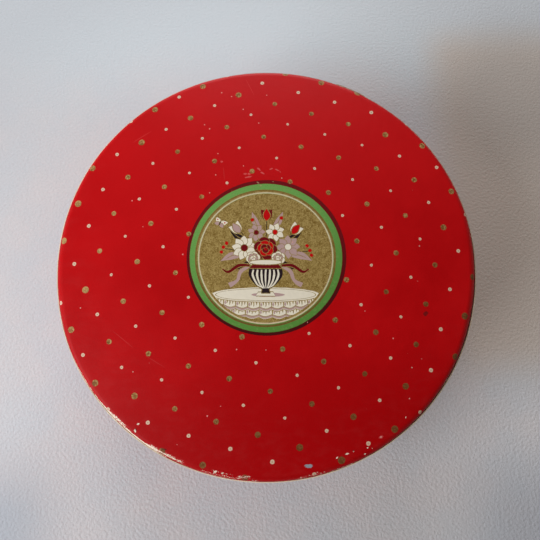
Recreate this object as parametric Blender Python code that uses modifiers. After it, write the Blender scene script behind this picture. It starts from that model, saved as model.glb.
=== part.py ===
"""A round face powder box of covered board, with a lid that lifts off.

The base is a drum of board with a neck collar glued inside it. The lid slides down over the neck
until its rim meets the rim of the base. Its printed top sheet is drawn over a shallow crown and a
rounded edge, and a side band hides where that sheet is turned down. Inside are the powder under a
sealing membrane, and a puff that lies loose on the membrane.

Lengths are in metres and +Z is up. The origin is the middle of the underside.
"""

import math

import bmesh
import bpy

# Clearances
glue_gap = 0.0002          # between two layers that are glued together
rest_gap = 0.0003          # between two pieces that only rest on each other
slide_gap = 0.0004         # between the lid and the neck, all round

# Papers
print_thickness = 0.0003
band_thickness = 0.0003
lining_thickness = 0.0003
label_thickness = 0.0003
membrane_thickness = 0.0002

# Lid
lid_radius = 0.0430        # outside of the lid's side band
lid_skirt_height = 0.0120  # straight side, from the rim to the rounded edge
lid_wall_thickness = 0.0014
top_board_thickness = 0.0011
crown_rise = 0.0020        # how far the middle of the top stands above its edge
sheet_turn_down = 0.0060   # printed top sheet hidden under the side band
band_lip = 0.0004          # side band's upper edge above the start of the rounding
band_turn_in = 0.0060      # side band folded up inside the rim

# Base
base_inset = 0.0006        # side of the base behind the side of the lid
base_height = 0.0210       # underside to the rim that the lid meets
floor_thickness = 0.0018
band_turn_under = 0.0060   # side band folded under the floor
label_margin = 0.0030      # bare ring between the label's edge and the side

# Neck
neck_thickness = 0.0012
neck_rise = 0.0090         # neck above the rim of the base
neck_paper_tuck = 0.0040   # neck's paper hidden behind the wall of the base

# Powder and its seal
seal_hoop_thickness = 0.0010
seal_hoop_height = 0.0095
powder_headspace = 0.0004  # between the powder and the top of the hoop
powder_corner = 0.0008     # slope where the powder meets the hoop

# Puff
puff_clearance = 0.0045    # between the puff's lips and the neck
puff_lip_width = 0.0012
puff_cloth = 0.0004        # thickness of the cloth at the lips and the back
puff_pile = 0.0022         # thickness of the plush on the powdering side
puff_edge_rounding = 0.0068  # from the flat of the powdering side out to its seam
puff_face_depth = 0.0048   # powdering side, from its flat to the seam
puff_back_rise = 0.0042    # back, from the seam to its top
binding_thickness = 0.0004
binding_overlap = 0.0008   # binding over each lip

# Ribbon across the back of the puff
ribbon_width = 0.0120
ribbon_thickness = 0.0004
ribbon_end_inset = 0.0012  # ribbon's ends short of the rounded back's edge

# Smoothness of the round shapes
drum_segments = 64
puff_segments = 36
sheet_dome_steps = 4
sheet_edge_steps = 5
board_dome_steps = 3
board_edge_steps = 3
cushion_steps = 5
ribbon_steps_along = 18
ribbon_steps_across = 4
weld_distance = 0.00001
sharp_angle = math.radians(35.0)

# Radii of the layers, from the lid's outside inwards
lid_band_inner = lid_radius - band_thickness
sheet_radius = lid_band_inner - glue_gap
lid_wall_outer = sheet_radius - print_thickness - glue_gap
lid_wall_inner = lid_wall_outer - lid_wall_thickness
lid_lining_outer = lid_wall_inner - glue_gap
lid_bore = lid_lining_outer - max(lining_thickness, band_thickness)
neck_paper_outer = lid_bore - slide_gap
neck_wall_outer = neck_paper_outer - lining_thickness - glue_gap
neck_wall_inner = neck_wall_outer - neck_thickness
well_radius = neck_wall_inner - glue_gap - lining_thickness
base_wall_inner = neck_paper_outer + glue_gap
base_radius = lid_radius - base_inset
base_wall_outer = base_radius - band_thickness - glue_gap
hoop_outer = well_radius - glue_gap
hoop_inner = hoop_outer - seal_hoop_thickness

# Heights, from the underside upwards
turn_under_bottom = label_thickness + glue_gap
floor_bottom = turn_under_bottom + band_thickness + glue_gap
floor_top = floor_bottom + floor_thickness
neck_bottom = floor_top + glue_gap
well_floor = neck_bottom + lining_thickness
hoop_bottom = well_floor + glue_gap
hoop_top = hoop_bottom + seal_hoop_height
membrane_bottom = hoop_top + glue_gap
membrane_top = membrane_bottom + membrane_thickness
neck_top = base_height + neck_rise
lid_rim = base_height + rest_gap
shoulder = lid_rim + lid_skirt_height

# Crown of the lid: a large arc that runs into the rounded edge without a corner. The top board is
# rounded over its whole thickness.
edge_radius = top_board_thickness + glue_gap + print_thickness
edge_centre = sheet_radius - edge_radius
crown_arc = (edge_centre ** 2 + crown_rise ** 2) / (2 * crown_rise)
crown_angle = math.asin(edge_centre / crown_arc)
crown_centre = shoulder + crown_rise - crown_arc
dome_radius = crown_arc + edge_radius

# Puff
puff_bottom = membrane_top + rest_gap
puff_radius = well_radius - puff_clearance
puff_body_radius = puff_radius - puff_lip_width
puff_flat_radius = puff_body_radius - puff_edge_rounding
seam = puff_bottom + puff_face_depth
back_lip_bottom = seam + glue_gap
back_lip_top = back_lip_bottom + puff_cloth

part_name = "face_powder_box"

# Colours
print_red = (0.48, 0.011, 0.010)
board_grey = (0.42, 0.36, 0.27)
board_white = (0.70, 0.66, 0.58)
lining_white = (0.80, 0.77, 0.70)
label_cream = (0.74, 0.68, 0.56)
glassine_buff = (0.78, 0.72, 0.60)
powder_rose = (0.80, 0.56, 0.42)
plush_blush = (0.86, 0.72, 0.66)
wadding_white = (0.85, 0.83, 0.78)
satin_pink = (0.80, 0.55, 0.50)
ribbon_rose = (0.72, 0.30, 0.32)


def arc(centre_x, centre_z, radius, start, end, steps):
    """Points on an arc, with its angles counted from straight up towards the outside."""
    points = []
    for step in range(steps + 1):
        angle = start + (end - start) * step / steps
        points.append((centre_x + radius * math.sin(angle), centre_z + radius * math.cos(angle)))
    return points


def crown_outline(depth, dome_steps, edge_steps):
    """Half section of the lid's top at a depth below its printed face, from the middle outwards."""
    dome = arc(0.0, crown_centre, dome_radius - depth, 0.0, crown_angle, dome_steps)
    edge = arc(edge_centre, shoulder, edge_radius - depth, crown_angle, math.pi / 2, edge_steps)
    return dome + edge[1:]


def dome_outline(depth, radius, steps):
    """Half section of the lid's crown alone, out to a radius."""
    reach = math.asin(radius / (dome_radius - depth))
    return arc(0.0, crown_centre, dome_radius - depth, 0.0, reach, steps)


def cushion_outline(flat, radius, low, high, steps):
    """Quarter of a flattened cushion, from its middle at height low to its side at height high."""
    points = [(0.0, low)]
    for step in range(steps + 1):
        angle = math.pi / 2 * step / steps
        x = flat + (radius - flat) * math.sin(angle)
        z = high + (low - high) * math.cos(angle)
        if x > 0.0:
            points.append((x, z))
    return points


def ring_outline(outer, inner, bottom, top):
    """Section of a plain hoop, down its outside first."""
    return [(outer, top), (outer, bottom), (inner, bottom), (inner, top)]


def disc_outline(radius, bottom, top):
    """Half section of a plain disc, from the middle of its top round to the middle of its underside."""
    return [(0.0, top), (radius, top), (radius, bottom), (0.0, bottom)]


def make_material(name, colour, roughness, metallic=0.0):
    material = bpy.data.materials.new(name)
    material.use_nodes = True
    shader = material.node_tree.nodes["Principled BSDF"]
    shader.inputs["Base Color"].default_value = (*colour, 1.0)
    shader.inputs["Roughness"].default_value = roughness
    shader.inputs["Metallic"].default_value = metallic
    material.diffuse_color = (*colour, 1.0)
    return material


def new_object(name, mesh, collection, parent, colour, roughness):
    piece = bpy.data.objects.new(name, mesh)
    collection.objects.link(piece)
    piece.parent = parent
    piece.matrix_parent_inverse = parent.matrix_world.inverted()
    mesh.materials.append(make_material(name, colour, roughness))
    return piece


def apply_modifiers(piece):
    """Turn a piece's modifiers into its mesh, shaded smooth between its sharp corners."""
    evaluated = piece.evaluated_get(bpy.context.evaluated_depsgraph_get())
    mesh = bpy.data.meshes.new_from_object(evaluated)
    mesh.name = piece.name
    old_mesh = piece.data
    piece.modifiers.clear()
    piece.data = mesh
    bpy.data.meshes.remove(old_mesh)
    mesh.shade_smooth()
    mesh.set_sharp_from_angle(angle=sharp_angle)


def turn(name, outline, collection, parent, colour, roughness, segments=drum_segments):
    """Turn a half section round the upright axis. A section that misses the axis is a closed loop."""
    mesh = bpy.data.meshes.new(name)
    shape = bmesh.new()
    corners = [shape.verts.new((x, 0.0, z)) for x, z in outline]
    for first, second in zip(corners, corners[1:]):
        shape.edges.new((first, second))
    if outline[0][0] > 0.0:
        shape.edges.new((corners[-1], corners[0]))
    shape.to_mesh(mesh)
    shape.free()
    piece = new_object(name, mesh, collection, parent, colour, roughness)
    screw = piece.modifiers.new("Turned", "SCREW")
    screw.steps = segments
    screw.render_steps = segments
    screw.use_merge_vertices = True
    screw.merge_threshold = weld_distance
    screw.use_normal_calculate = False
    bpy.context.view_layer.update()
    apply_modifiers(piece)
    return piece


def make_lid(collection, parent):
    """Six pieces: the printed sheet, two boards, the side band and two linings."""
    outside = crown_outline(0.0, sheet_dome_steps, sheet_edge_steps)
    inside = crown_outline(print_thickness, sheet_dome_steps, sheet_edge_steps)
    hem = shoulder - sheet_turn_down
    outline = outside + [(sheet_radius, hem), (sheet_radius - print_thickness, hem)] + inside[::-1]
    turn("lid_top_sheet", outline, collection, parent, print_red, 0.35)

    # Outside the crown, the underside of the board is a flat margin that rests on the wall.
    board_top = print_thickness + glue_gap
    board_underside = board_top + top_board_thickness
    outside = crown_outline(board_top, board_dome_steps, board_edge_steps)
    inside = dome_outline(board_underside, edge_centre, board_dome_steps)
    turn("lid_top_board", outside + inside[::-1], collection, parent, board_grey, 0.9)

    disc_top = board_underside + glue_gap
    disc_radius = lid_bore - glue_gap
    outside = dome_outline(disc_top, disc_radius, board_dome_steps)
    inside = dome_outline(disc_top + lining_thickness, disc_radius, board_dome_steps)
    turn("lid_lining_disc", outside + inside[::-1], collection, parent, lining_white, 0.6)

    wall_bottom = lid_rim + band_thickness + glue_gap
    outline = ring_outline(lid_wall_outer, lid_wall_inner, wall_bottom, shoulder - glue_gap)
    turn("lid_side_wall", outline, collection, parent, board_grey, 0.9)

    fold_inner = lid_lining_outer - band_thickness
    fold_top = lid_rim + band_turn_in
    outline = [
        (lid_radius, shoulder + band_lip),
        (lid_radius, lid_rim),
        (fold_inner, lid_rim),
        (fold_inner, fold_top),
        (lid_lining_outer, fold_top),
        (lid_lining_outer, lid_rim + band_thickness),
        (lid_band_inner, lid_rim + band_thickness),
        (lid_band_inner, shoulder + band_lip),
    ]
    turn("lid_side_band", outline, collection, parent, print_red, 0.35)

    strip_inner = lid_lining_outer - lining_thickness
    outline = ring_outline(lid_lining_outer, strip_inner, fold_top + glue_gap, shoulder - glue_gap)
    turn("lid_lining_strip", outline, collection, parent, lining_white, 0.6)


def make_base(collection, parent):
    """Five pieces: floor, wall, side band, label under the floor and lining on it."""
    label_radius = base_radius - label_margin
    outline = disc_outline(label_radius, 0.0, label_thickness)
    turn("base_bottom_label", outline, collection, parent, label_cream, 0.7)

    floor_radius = base_wall_inner - glue_gap
    outline = disc_outline(floor_radius, floor_bottom, floor_top)
    turn("base_floor_board", outline, collection, parent, board_grey, 0.9)

    wall_top = base_height - band_thickness - glue_gap
    outline = ring_outline(base_wall_outer, base_wall_inner, floor_bottom, wall_top)
    turn("base_side_wall", outline, collection, parent, board_grey, 0.9)

    band_inner = base_radius - band_thickness
    under_inner = base_radius - band_turn_under
    outline = [
        (base_radius, base_height),
        (base_radius, turn_under_bottom),
        (under_inner, turn_under_bottom),
        (under_inner, turn_under_bottom + band_thickness),
        (band_inner, turn_under_bottom + band_thickness),
        (band_inner, base_height - band_thickness),
        (base_wall_inner, base_height - band_thickness),
        (base_wall_inner, base_height),
    ]
    turn("base_side_band", outline, collection, parent, print_red, 0.35)

    outline = disc_outline(well_radius - glue_gap, neck_bottom, well_floor)
    turn("base_lining_disc", outline, collection, parent, lining_white, 0.6)


def make_neck(collection, parent):
    """The collar that the lid slides over, and the paper folded over its top."""
    wall_top = neck_top - lining_thickness - glue_gap
    outline = ring_outline(neck_wall_outer, neck_wall_inner, neck_bottom, wall_top)
    turn("neck_collar", outline, collection, parent, board_grey, 0.9)

    tuck_bottom = base_height - neck_paper_tuck
    outline = [
        (neck_paper_outer, neck_top),
        (neck_paper_outer, tuck_bottom),
        (neck_paper_outer - lining_thickness, tuck_bottom),
        (neck_paper_outer - lining_thickness, neck_top - lining_thickness),
        (well_radius + lining_thickness, neck_top - lining_thickness),
        (well_radius + lining_thickness, neck_bottom),
        (well_radius, neck_bottom),
        (well_radius, neck_top),
    ]
    turn("neck_paper", outline, collection, parent, lining_white, 0.5)


def make_powder(collection, parent):
    """The hoop that carries the seal, its membrane, and the powder inside."""
    outline = ring_outline(hoop_outer, hoop_inner, hoop_bottom, hoop_top)
    turn("seal_hoop", outline, collection, parent, board_white, 0.8)

    outline = disc_outline(hoop_outer, membrane_bottom, membrane_top)
    turn("seal_membrane", outline, collection, parent, glassine_buff, 0.25)

    powder_radius = hoop_inner - rest_gap
    powder_top = hoop_top - powder_headspace
    outline = [
        (0.0, powder_top),
        (powder_radius - powder_corner, powder_top),
        (powder_radius, powder_top - powder_corner),
        (powder_radius, hoop_bottom),
        (0.0, hoop_bottom),
    ]
    turn("powder_fill", outline, collection, parent, powder_rose, 0.95)


def back_height(distance):
    """Height of the puff's back at a distance from its middle."""
    share = min(distance / puff_body_radius, 1.0)
    return back_lip_top + puff_back_rise * math.sqrt(1.0 - share ** 2)


def make_ribbon(collection, parent):
    """A strip that lies along the rounded back, thickened upwards."""
    half_length = puff_body_radius - ribbon_end_inset
    mesh = bpy.data.meshes.new("puff_ribbon")
    shape = bmesh.new()
    rows = []
    for along in range(ribbon_steps_along + 1):
        # The steps are shorter towards the ends, where the back falls away faster.
        x = -half_length * math.cos(math.pi * along / ribbon_steps_along)
        row = []
        for across in range(ribbon_steps_across + 1):
            y = ribbon_width * (across / ribbon_steps_across - 0.5)
            z = back_height(math.hypot(x, y)) + rest_gap
            row.append(shape.verts.new((x, y, z)))
        rows.append(row)
    for row, next_row in zip(rows, rows[1:]):
        for first in range(ribbon_steps_across):
            second = first + 1
            shape.faces.new((row[first], next_row[first], next_row[second], row[second]))
    shape.to_mesh(mesh)
    shape.free()
    ribbon = new_object("puff_ribbon", mesh, collection, parent, ribbon_rose, 0.35)
    thickness = ribbon.modifiers.new("Thickness", "SOLIDIFY")
    thickness.thickness = ribbon_thickness
    thickness.offset = 1.0
    bpy.context.view_layer.update()
    apply_modifiers(ribbon)


def make_puff(collection, parent):
    """Five pieces: plush face, wadding, back, binding round the seam, and the ribbon."""
    inner_radius = puff_body_radius - puff_cloth
    outside = cushion_outline(puff_flat_radius, puff_body_radius, puff_bottom, seam - puff_cloth,
                              cushion_steps)
    inside = cushion_outline(puff_flat_radius, inner_radius, puff_bottom + puff_pile, seam,
                             cushion_steps)
    lip = [(puff_radius, seam - puff_cloth), (puff_radius, seam)]
    outline = inside + lip[::-1] + outside[::-1]
    turn("puff_face", outline, collection, parent, plush_blush, 0.95, puff_segments)

    back_top = back_lip_top + puff_back_rise
    outside = cushion_outline(0.0, puff_body_radius, back_top, back_lip_top, cushion_steps)
    inside = cushion_outline(0.0, inner_radius, back_top - puff_cloth, back_lip_bottom,
                             cushion_steps)
    lip = [(puff_radius, back_lip_top), (puff_radius, back_lip_bottom)]
    outline = outside + lip + inside[::-1]
    turn("puff_back", outline, collection, parent, satin_pink, 0.4, puff_segments)

    wadding_radius = inner_radius - rest_gap
    upper = cushion_outline(0.0, wadding_radius, back_top - puff_cloth - rest_gap, seam,
                            cushion_steps)
    lower = cushion_outline(puff_flat_radius, wadding_radius, puff_bottom + puff_pile + rest_gap,
                            seam, cushion_steps)
    outline = upper + lower[:-1][::-1]
    turn("puff_wadding", outline, collection, parent, wadding_white, 0.95, puff_segments)

    fold_inner = puff_radius - binding_overlap
    fold_outer = puff_radius + glue_gap
    low = seam - puff_cloth - glue_gap
    high = back_lip_top + glue_gap
    binding_outer = fold_outer + binding_thickness
    outline = [
        (binding_outer, high + binding_thickness),
        (binding_outer, low - binding_thickness),
        (fold_inner, low - binding_thickness),
        (fold_inner, low),
        (fold_outer, low),
        (fold_outer, high),
        (fold_inner, high),
        (fold_inner, high + binding_thickness),
    ]
    turn("puff_binding", outline, collection, parent, ribbon_rose, 0.4, puff_segments)

    make_ribbon(collection, parent)


def new_empty(name, collection, parent, height):
    """A marker on the upright axis that carries the pieces of one moving group."""
    empty = bpy.data.objects.new(name, None)
    collection.objects.link(empty)
    empty.empty_display_size = lid_radius
    empty.location = (0.0, 0.0, height)
    empty.parent = parent
    return empty


def main():
    for thing in list(bpy.data.objects):
        bpy.data.objects.remove(thing, do_unlink=True)
    collection = bpy.data.collections.new(part_name)
    bpy.context.scene.collection.children.link(collection)

    base = new_empty("base_group", collection, None, 0.0)
    lid = new_empty("lid_group", collection, base, lid_rim)
    puff = new_empty("puff_group", collection, base, puff_bottom)
    bpy.context.view_layer.update()

    make_base(collection, base)
    make_neck(collection, base)
    make_powder(collection, base)
    make_puff(collection, puff)
    make_lid(collection, lid)


main()
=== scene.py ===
"""Looks of a round face powder box: printed papers, boards, powder, seal and puff."""
import math
from functools import partialmethod, reduce
from itertools import pairwise

import bmesh
import bpy
import numpy as np
from mathutils import Matrix, Vector, geometry, noise


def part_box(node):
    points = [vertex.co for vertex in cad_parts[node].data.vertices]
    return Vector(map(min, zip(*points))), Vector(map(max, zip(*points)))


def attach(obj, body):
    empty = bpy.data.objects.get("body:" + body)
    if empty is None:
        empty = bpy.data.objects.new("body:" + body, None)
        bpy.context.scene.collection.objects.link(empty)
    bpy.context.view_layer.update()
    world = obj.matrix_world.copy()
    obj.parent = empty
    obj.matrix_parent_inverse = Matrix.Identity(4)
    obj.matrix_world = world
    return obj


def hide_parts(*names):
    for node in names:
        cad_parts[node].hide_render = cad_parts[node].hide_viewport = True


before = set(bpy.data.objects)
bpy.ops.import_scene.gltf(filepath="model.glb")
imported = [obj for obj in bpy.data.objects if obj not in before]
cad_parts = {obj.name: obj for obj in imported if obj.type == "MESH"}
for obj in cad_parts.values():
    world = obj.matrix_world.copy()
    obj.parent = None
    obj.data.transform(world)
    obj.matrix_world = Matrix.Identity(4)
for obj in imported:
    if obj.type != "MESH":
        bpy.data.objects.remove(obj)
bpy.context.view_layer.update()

# The vector noise takes its offset from this seed, so every run draws the motif alike
noise.seed_set(7)

# Units: positions are in metres, and print coordinates and noise scales are in millimetres
mm = 0.001
full_turn = 2.0 * math.pi


def low(node):
    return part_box(node)[0]


def high(node):
    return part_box(node)[1]


# Sizes that follow from the frame
glue_gap = 0.2 * mm
sheet_radius = high("lid_top_sheet").x
apex = high("lid_top_sheet").z
shoulder = high("lid_side_wall").z + glue_gap
edge_radius = apex - high("lid_lining_disc").z - glue_gap
edge_centre = sheet_radius - edge_radius
crown_rise = apex - shoulder - edge_radius
crown_arc = (edge_centre ** 2 + crown_rise ** 2) / (2.0 * crown_rise)
crown_angle = math.asin(edge_centre / crown_arc)
crown_centre = shoulder + crown_rise - crown_arc
dome_radius = crown_arc + edge_radius
dome_run = dome_radius * crown_angle
edge_run = dome_run + edge_radius * (math.pi / 2.0 - crown_angle)
lid_rim = low("lid_side_band").z
base_radius = high("base_side_band").x
base_rim = high("base_side_band").z
neck_top = high("neck_paper").z
neck_outer = high("neck_paper").x
well_radius = high("base_lining_disc").x + glue_gap

# Fineness and papers
round_steps = 360
fold_steps = 6
paper = 0.15 * mm
thin_paper = 0.12 * mm
label_thickness = 0.2 * mm
band_paper = 0.16 * mm
band_ripple = 0.02 * mm
fold_radius = 0.35 * mm

# The drawn sheet and the band lie a little fuller than the solids, and no pressed board is quite round
sheet_reach = sheet_radius + 0.48 * mm
band_reach = sheet_reach + 0.045 * mm
loose_side = math.radians(324.0)
lifted_side = math.radians(222.0)
edge_rounding = (
    (0.0, 2.0), (15.0, 1.5), (30.0, 1.35), (60.0, 1.4), (90.0, 1.3), (150.0, 1.4), (175.0, 1.9),
    (190.0, 1.9), (207.0, 1.2), (240.0, 1.3), (270.0, 1.4), (300.0, 1.3), (330.0, 1.4), (345.0, 2.1),
    (360.0, 2.0),
)

# Print of the covering paper, and the directions of painted shade on it, in millimetres on the flat sheet
dot_start = (7.328, 24.101, 0.0)
dot_across = (7.9101, -2.3566)
dot_down = (-2.4005, -7.9710)
dot_pitch = 8.3
cream_dot_shift = (0.4928, 0.4761, 0.0)
gold_dot_radius = 0.51
cream_dot_radius = 0.295
rim_growth = 1.32
gold_shade_direction = (0.016, -0.022, 0.0)
painted_shade_direction = (0.003, -0.026, 0.0)
medallion_reach = 16.9

# The medallion's printings, each a little out of register: centre and radius
dark_ring = ((0.06, 0.470, 0.0), 16.03)
green_ring = ((-0.050, 0.360, 0.0), 15.30)
gold_field = ((-0.145, 0.250, 0.0), 14.14)
cream_line = ((-0.095, 0.230, 0.0), 13.44)
cream_line_width = 0.27


def colour(*values):
    """A linear colour from the eight-bit one that a screen shows."""
    shares = [value / 255.0 for value in values]
    return (*(share / 12.92 if share <= 0.04045 else ((share + 0.055) / 1.055) ** 2.4
              for share in shares), 1.0)


# Inks and papers, and colours of painted light and shade
print_red = colour(186, 10, 15)
print_red_deep = colour(172, 4, 9)
red_in_painted_light = colour(193, 16, 20)
red_in_painted_shade = colour(161, 2, 6)
rubbed_red_and_highlight = colour(206, 72, 70)
scuffed_red = colour(222, 110, 108)
ink_gold = colour(162, 117, 66)
gold_bright_grain_and_highlight = colour(200, 166, 112)
ink_gold_dark = colour(110, 72, 34)
gold_in_painted_shade = colour(94, 48, 18)
ink_cream = colour(228, 219, 200)
ink_cream_dot = colour(220, 193, 169)
ink_cream_core_and_shade = colour(182, 148, 122)
ink_green = colour(107, 158, 80)
green_deep_and_shade = colour(83, 132, 57)
ink_maroon = colour(104, 14, 20)
ink_black = colour(34, 22, 26)
ink_mauve = colour(178, 148, 144)
ink_field = colour(158, 135, 80)
ink_field_dark = colour(114, 88, 38)
ink_line = colour(206, 192, 160)
paper_core = colour(244, 225, 208)
backdrop_pale = colour(226, 225, 229)


class Nodes:
    """Short calls that add and link the nodes of one tree."""

    def __init__(self, tree):
        self.tree = tree

    def feed(self, socket, value):
        if isinstance(value, bpy.types.NodeSocket):
            self.tree.links.new(value, socket)
        else:
            socket.default_value = value

    def node(self, kind, inputs=(), **settings):
        made = self.tree.nodes.new("ShaderNode" + kind)
        for key, value in settings.items():
            setattr(made, key, value)
        for key, value in dict(inputs).items():
            self.feed(made.inputs[key], value)
        return made

    def math(self, operation, *values):
        return self.node("Math", enumerate(values), operation=operation).outputs[0]

    def vector(self, operation, *values):
        made = self.node("VectorMath", enumerate(values), operation=operation)
        return made.outputs["Value" if operation in ("DOT_PRODUCT", "LENGTH", "DISTANCE") else "Vector"]

    times = partialmethod(math, "MULTIPLY")
    plus = partialmethod(math, "ADD")
    minus = partialmethod(math, "SUBTRACT")
    either = partialmethod(math, "MAXIMUM")
    dot = partialmethod(vector, "DOT_PRODUCT")
    length = partialmethod(vector, "LENGTH")
    apart = partialmethod(vector, "DISTANCE")
    less = partialmethod(vector, "SUBTRACT")
    stretched = partialmethod(vector, "MULTIPLY")

    def scaled(self, value, scale):
        return self.node("VectorMath", {0: value, "Scale": scale}, operation="SCALE").outputs[0]

    def pair(self, x, y):
        return self.node("CombineXYZ", {0: x, 1: y}).outputs[0]

    def without(self, first, second):
        return self.times(first, self.minus(1.0, second))

    def attribute(self, name, output="Vector"):
        return self.node("Attribute", attribute_name=name).outputs[output]

    def place(self):
        """Place on the resting object, in millimetres."""
        return self.scaled(self.node("TexCoord").outputs["Object"], 1.0 / mm)

    def noise(self, place, scale, detail=2.0, roughness=0.5, distortion=0.0):
        inputs = {"Vector": place, "Scale": scale, "Detail": detail, "Roughness": roughness,
                  "Distortion": distortion}
        return self.node("TexNoise", inputs).outputs["Fac"]

    def cells(self, place, scale):
        """Distance from the middle of scattered cells, with a random colour and value for each."""
        made = self.node("TexVoronoi", {"Vector": place, "Scale": scale}).outputs
        return made["Distance"], made["Color"], self.dot(made["Color"], (1.0, 0.0, 0.0))

    def step(self, value, start, end):
        """0 below start, 1 above end, smooth between."""
        inputs = {"Value": value, "From Min": start, "From Max": end}
        return self.node("MapRange", inputs, interpolation_type="SMOOTHSTEP").outputs["Result"]

    def span(self, value, lowest, highest):
        """A value from 0 to 1, spread over another range."""
        return self.math("MULTIPLY_ADD", value, highest - lowest, lowest)

    def mix(self, first, second, share):
        return self.node("Mix", {0: share, 6: first, 7: second}, data_type="RGBA").outputs[2]

    def over(self, under, ink, mask, share):
        """An ink laid where a mask says, as strongly as a share says."""
        return self.mix(under, ink, self.times(mask, share))

    def disc(self, distance, radius, softness=0.03):
        """1 inside a radius and 0 outside it."""
        edges = self.minus(radius, softness), self.plus(radius, softness)
        return self.minus(1.0, self.step(distance, *edges))

    def far_from(self, place, centre, ragged):
        return self.plus(self.apart(place, centre), ragged)

    def ring(self, place, centre, inner, outer, ragged):
        distance = self.far_from(place, centre, ragged)
        return self.without(self.disc(distance, outer), self.disc(distance, inner))


class Look(Nodes):
    """One material in the making."""

    def __init__(self, name, specular=0.3, sheen=(0.0, 0.5)):
        self.material = bpy.data.materials.new(name)
        self.material.use_nodes = True
        super().__init__(self.material.node_tree)
        self.surface = self.tree.nodes["Principled BSDF"]
        self.set("Specular IOR Level", specular)
        self.set("Sheen Weight", sheen[0])
        self.set("Sheen Roughness", sheen[1])

    def set(self, name, value):
        self.feed(self.surface.inputs[name], value)

    def finish(self, ink, roughness, height, depth):
        """The material, with its colour, its roughness and a bump of a depth in millimetres."""
        self.set("Base Color", ink)
        self.set("Roughness", roughness)
        bump = self.node("Bump", {"Height": height, "Distance": depth * mm, "Strength": 1.0})
        self.set("Normal", bump.outputs["Normal"])
        return self.material


def lattice(look, place):
    """Print coordinates in whole steps of the dots' pattern."""
    area = dot_across[0] * dot_down[1] - dot_across[1] * dot_down[0]
    from_start = look.less(place, dot_start)
    return look.pair(look.dot(from_start, (dot_down[1] / area, -dot_down[0] / area, 0.0)),
                     look.dot(from_start, (-dot_across[1] / area, dot_across[0] / area, 0.0)))


def dots(look, place, steps, shift, radius, ragged):
    """Mask of one colour's dots, the place in its dot, the dot's size and a random value for it."""
    moved = look.less(steps, shift)
    cell = look.vector("FLOOR", look.vector("ADD", moved, (0.5, 0.5, 0.0)))
    luck = look.node("TexWhiteNoise", {"Vector": cell}).outputs
    wander = look.scaled(look.less(luck["Color"], (0.5, 0.5, 0.5)), 0.006)
    flat = look.stretched(look.less(look.less(moved, cell), wander), (dot_pitch, dot_pitch, 0.0))
    growth = look.span(look.step(look.length(place), 33.0, 38.5), 1.0, rim_growth)
    size = look.times(look.span(luck["Value"], 0.92, 1.07), look.times(growth, radius))
    return look.disc(look.plus(look.length(flat), ragged), size, 0.05), flat, size, luck["Value"]


def speckled_gold(look, place, light, dark, grain):
    """Bronze powder ink: fine grains of unlike brightness."""
    grain_value = look.dot(look.cells(place, grain)[1], (0.34, 0.33, 0.33))
    cloud = look.noise(place, 0.9, 4.0, 0.6)
    value = look.plus(look.times(grain_value, 0.55), look.times(cloud, 0.6))
    return look.mix(dark, light, look.step(value, 0.34, 0.72)), grain_value


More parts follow.
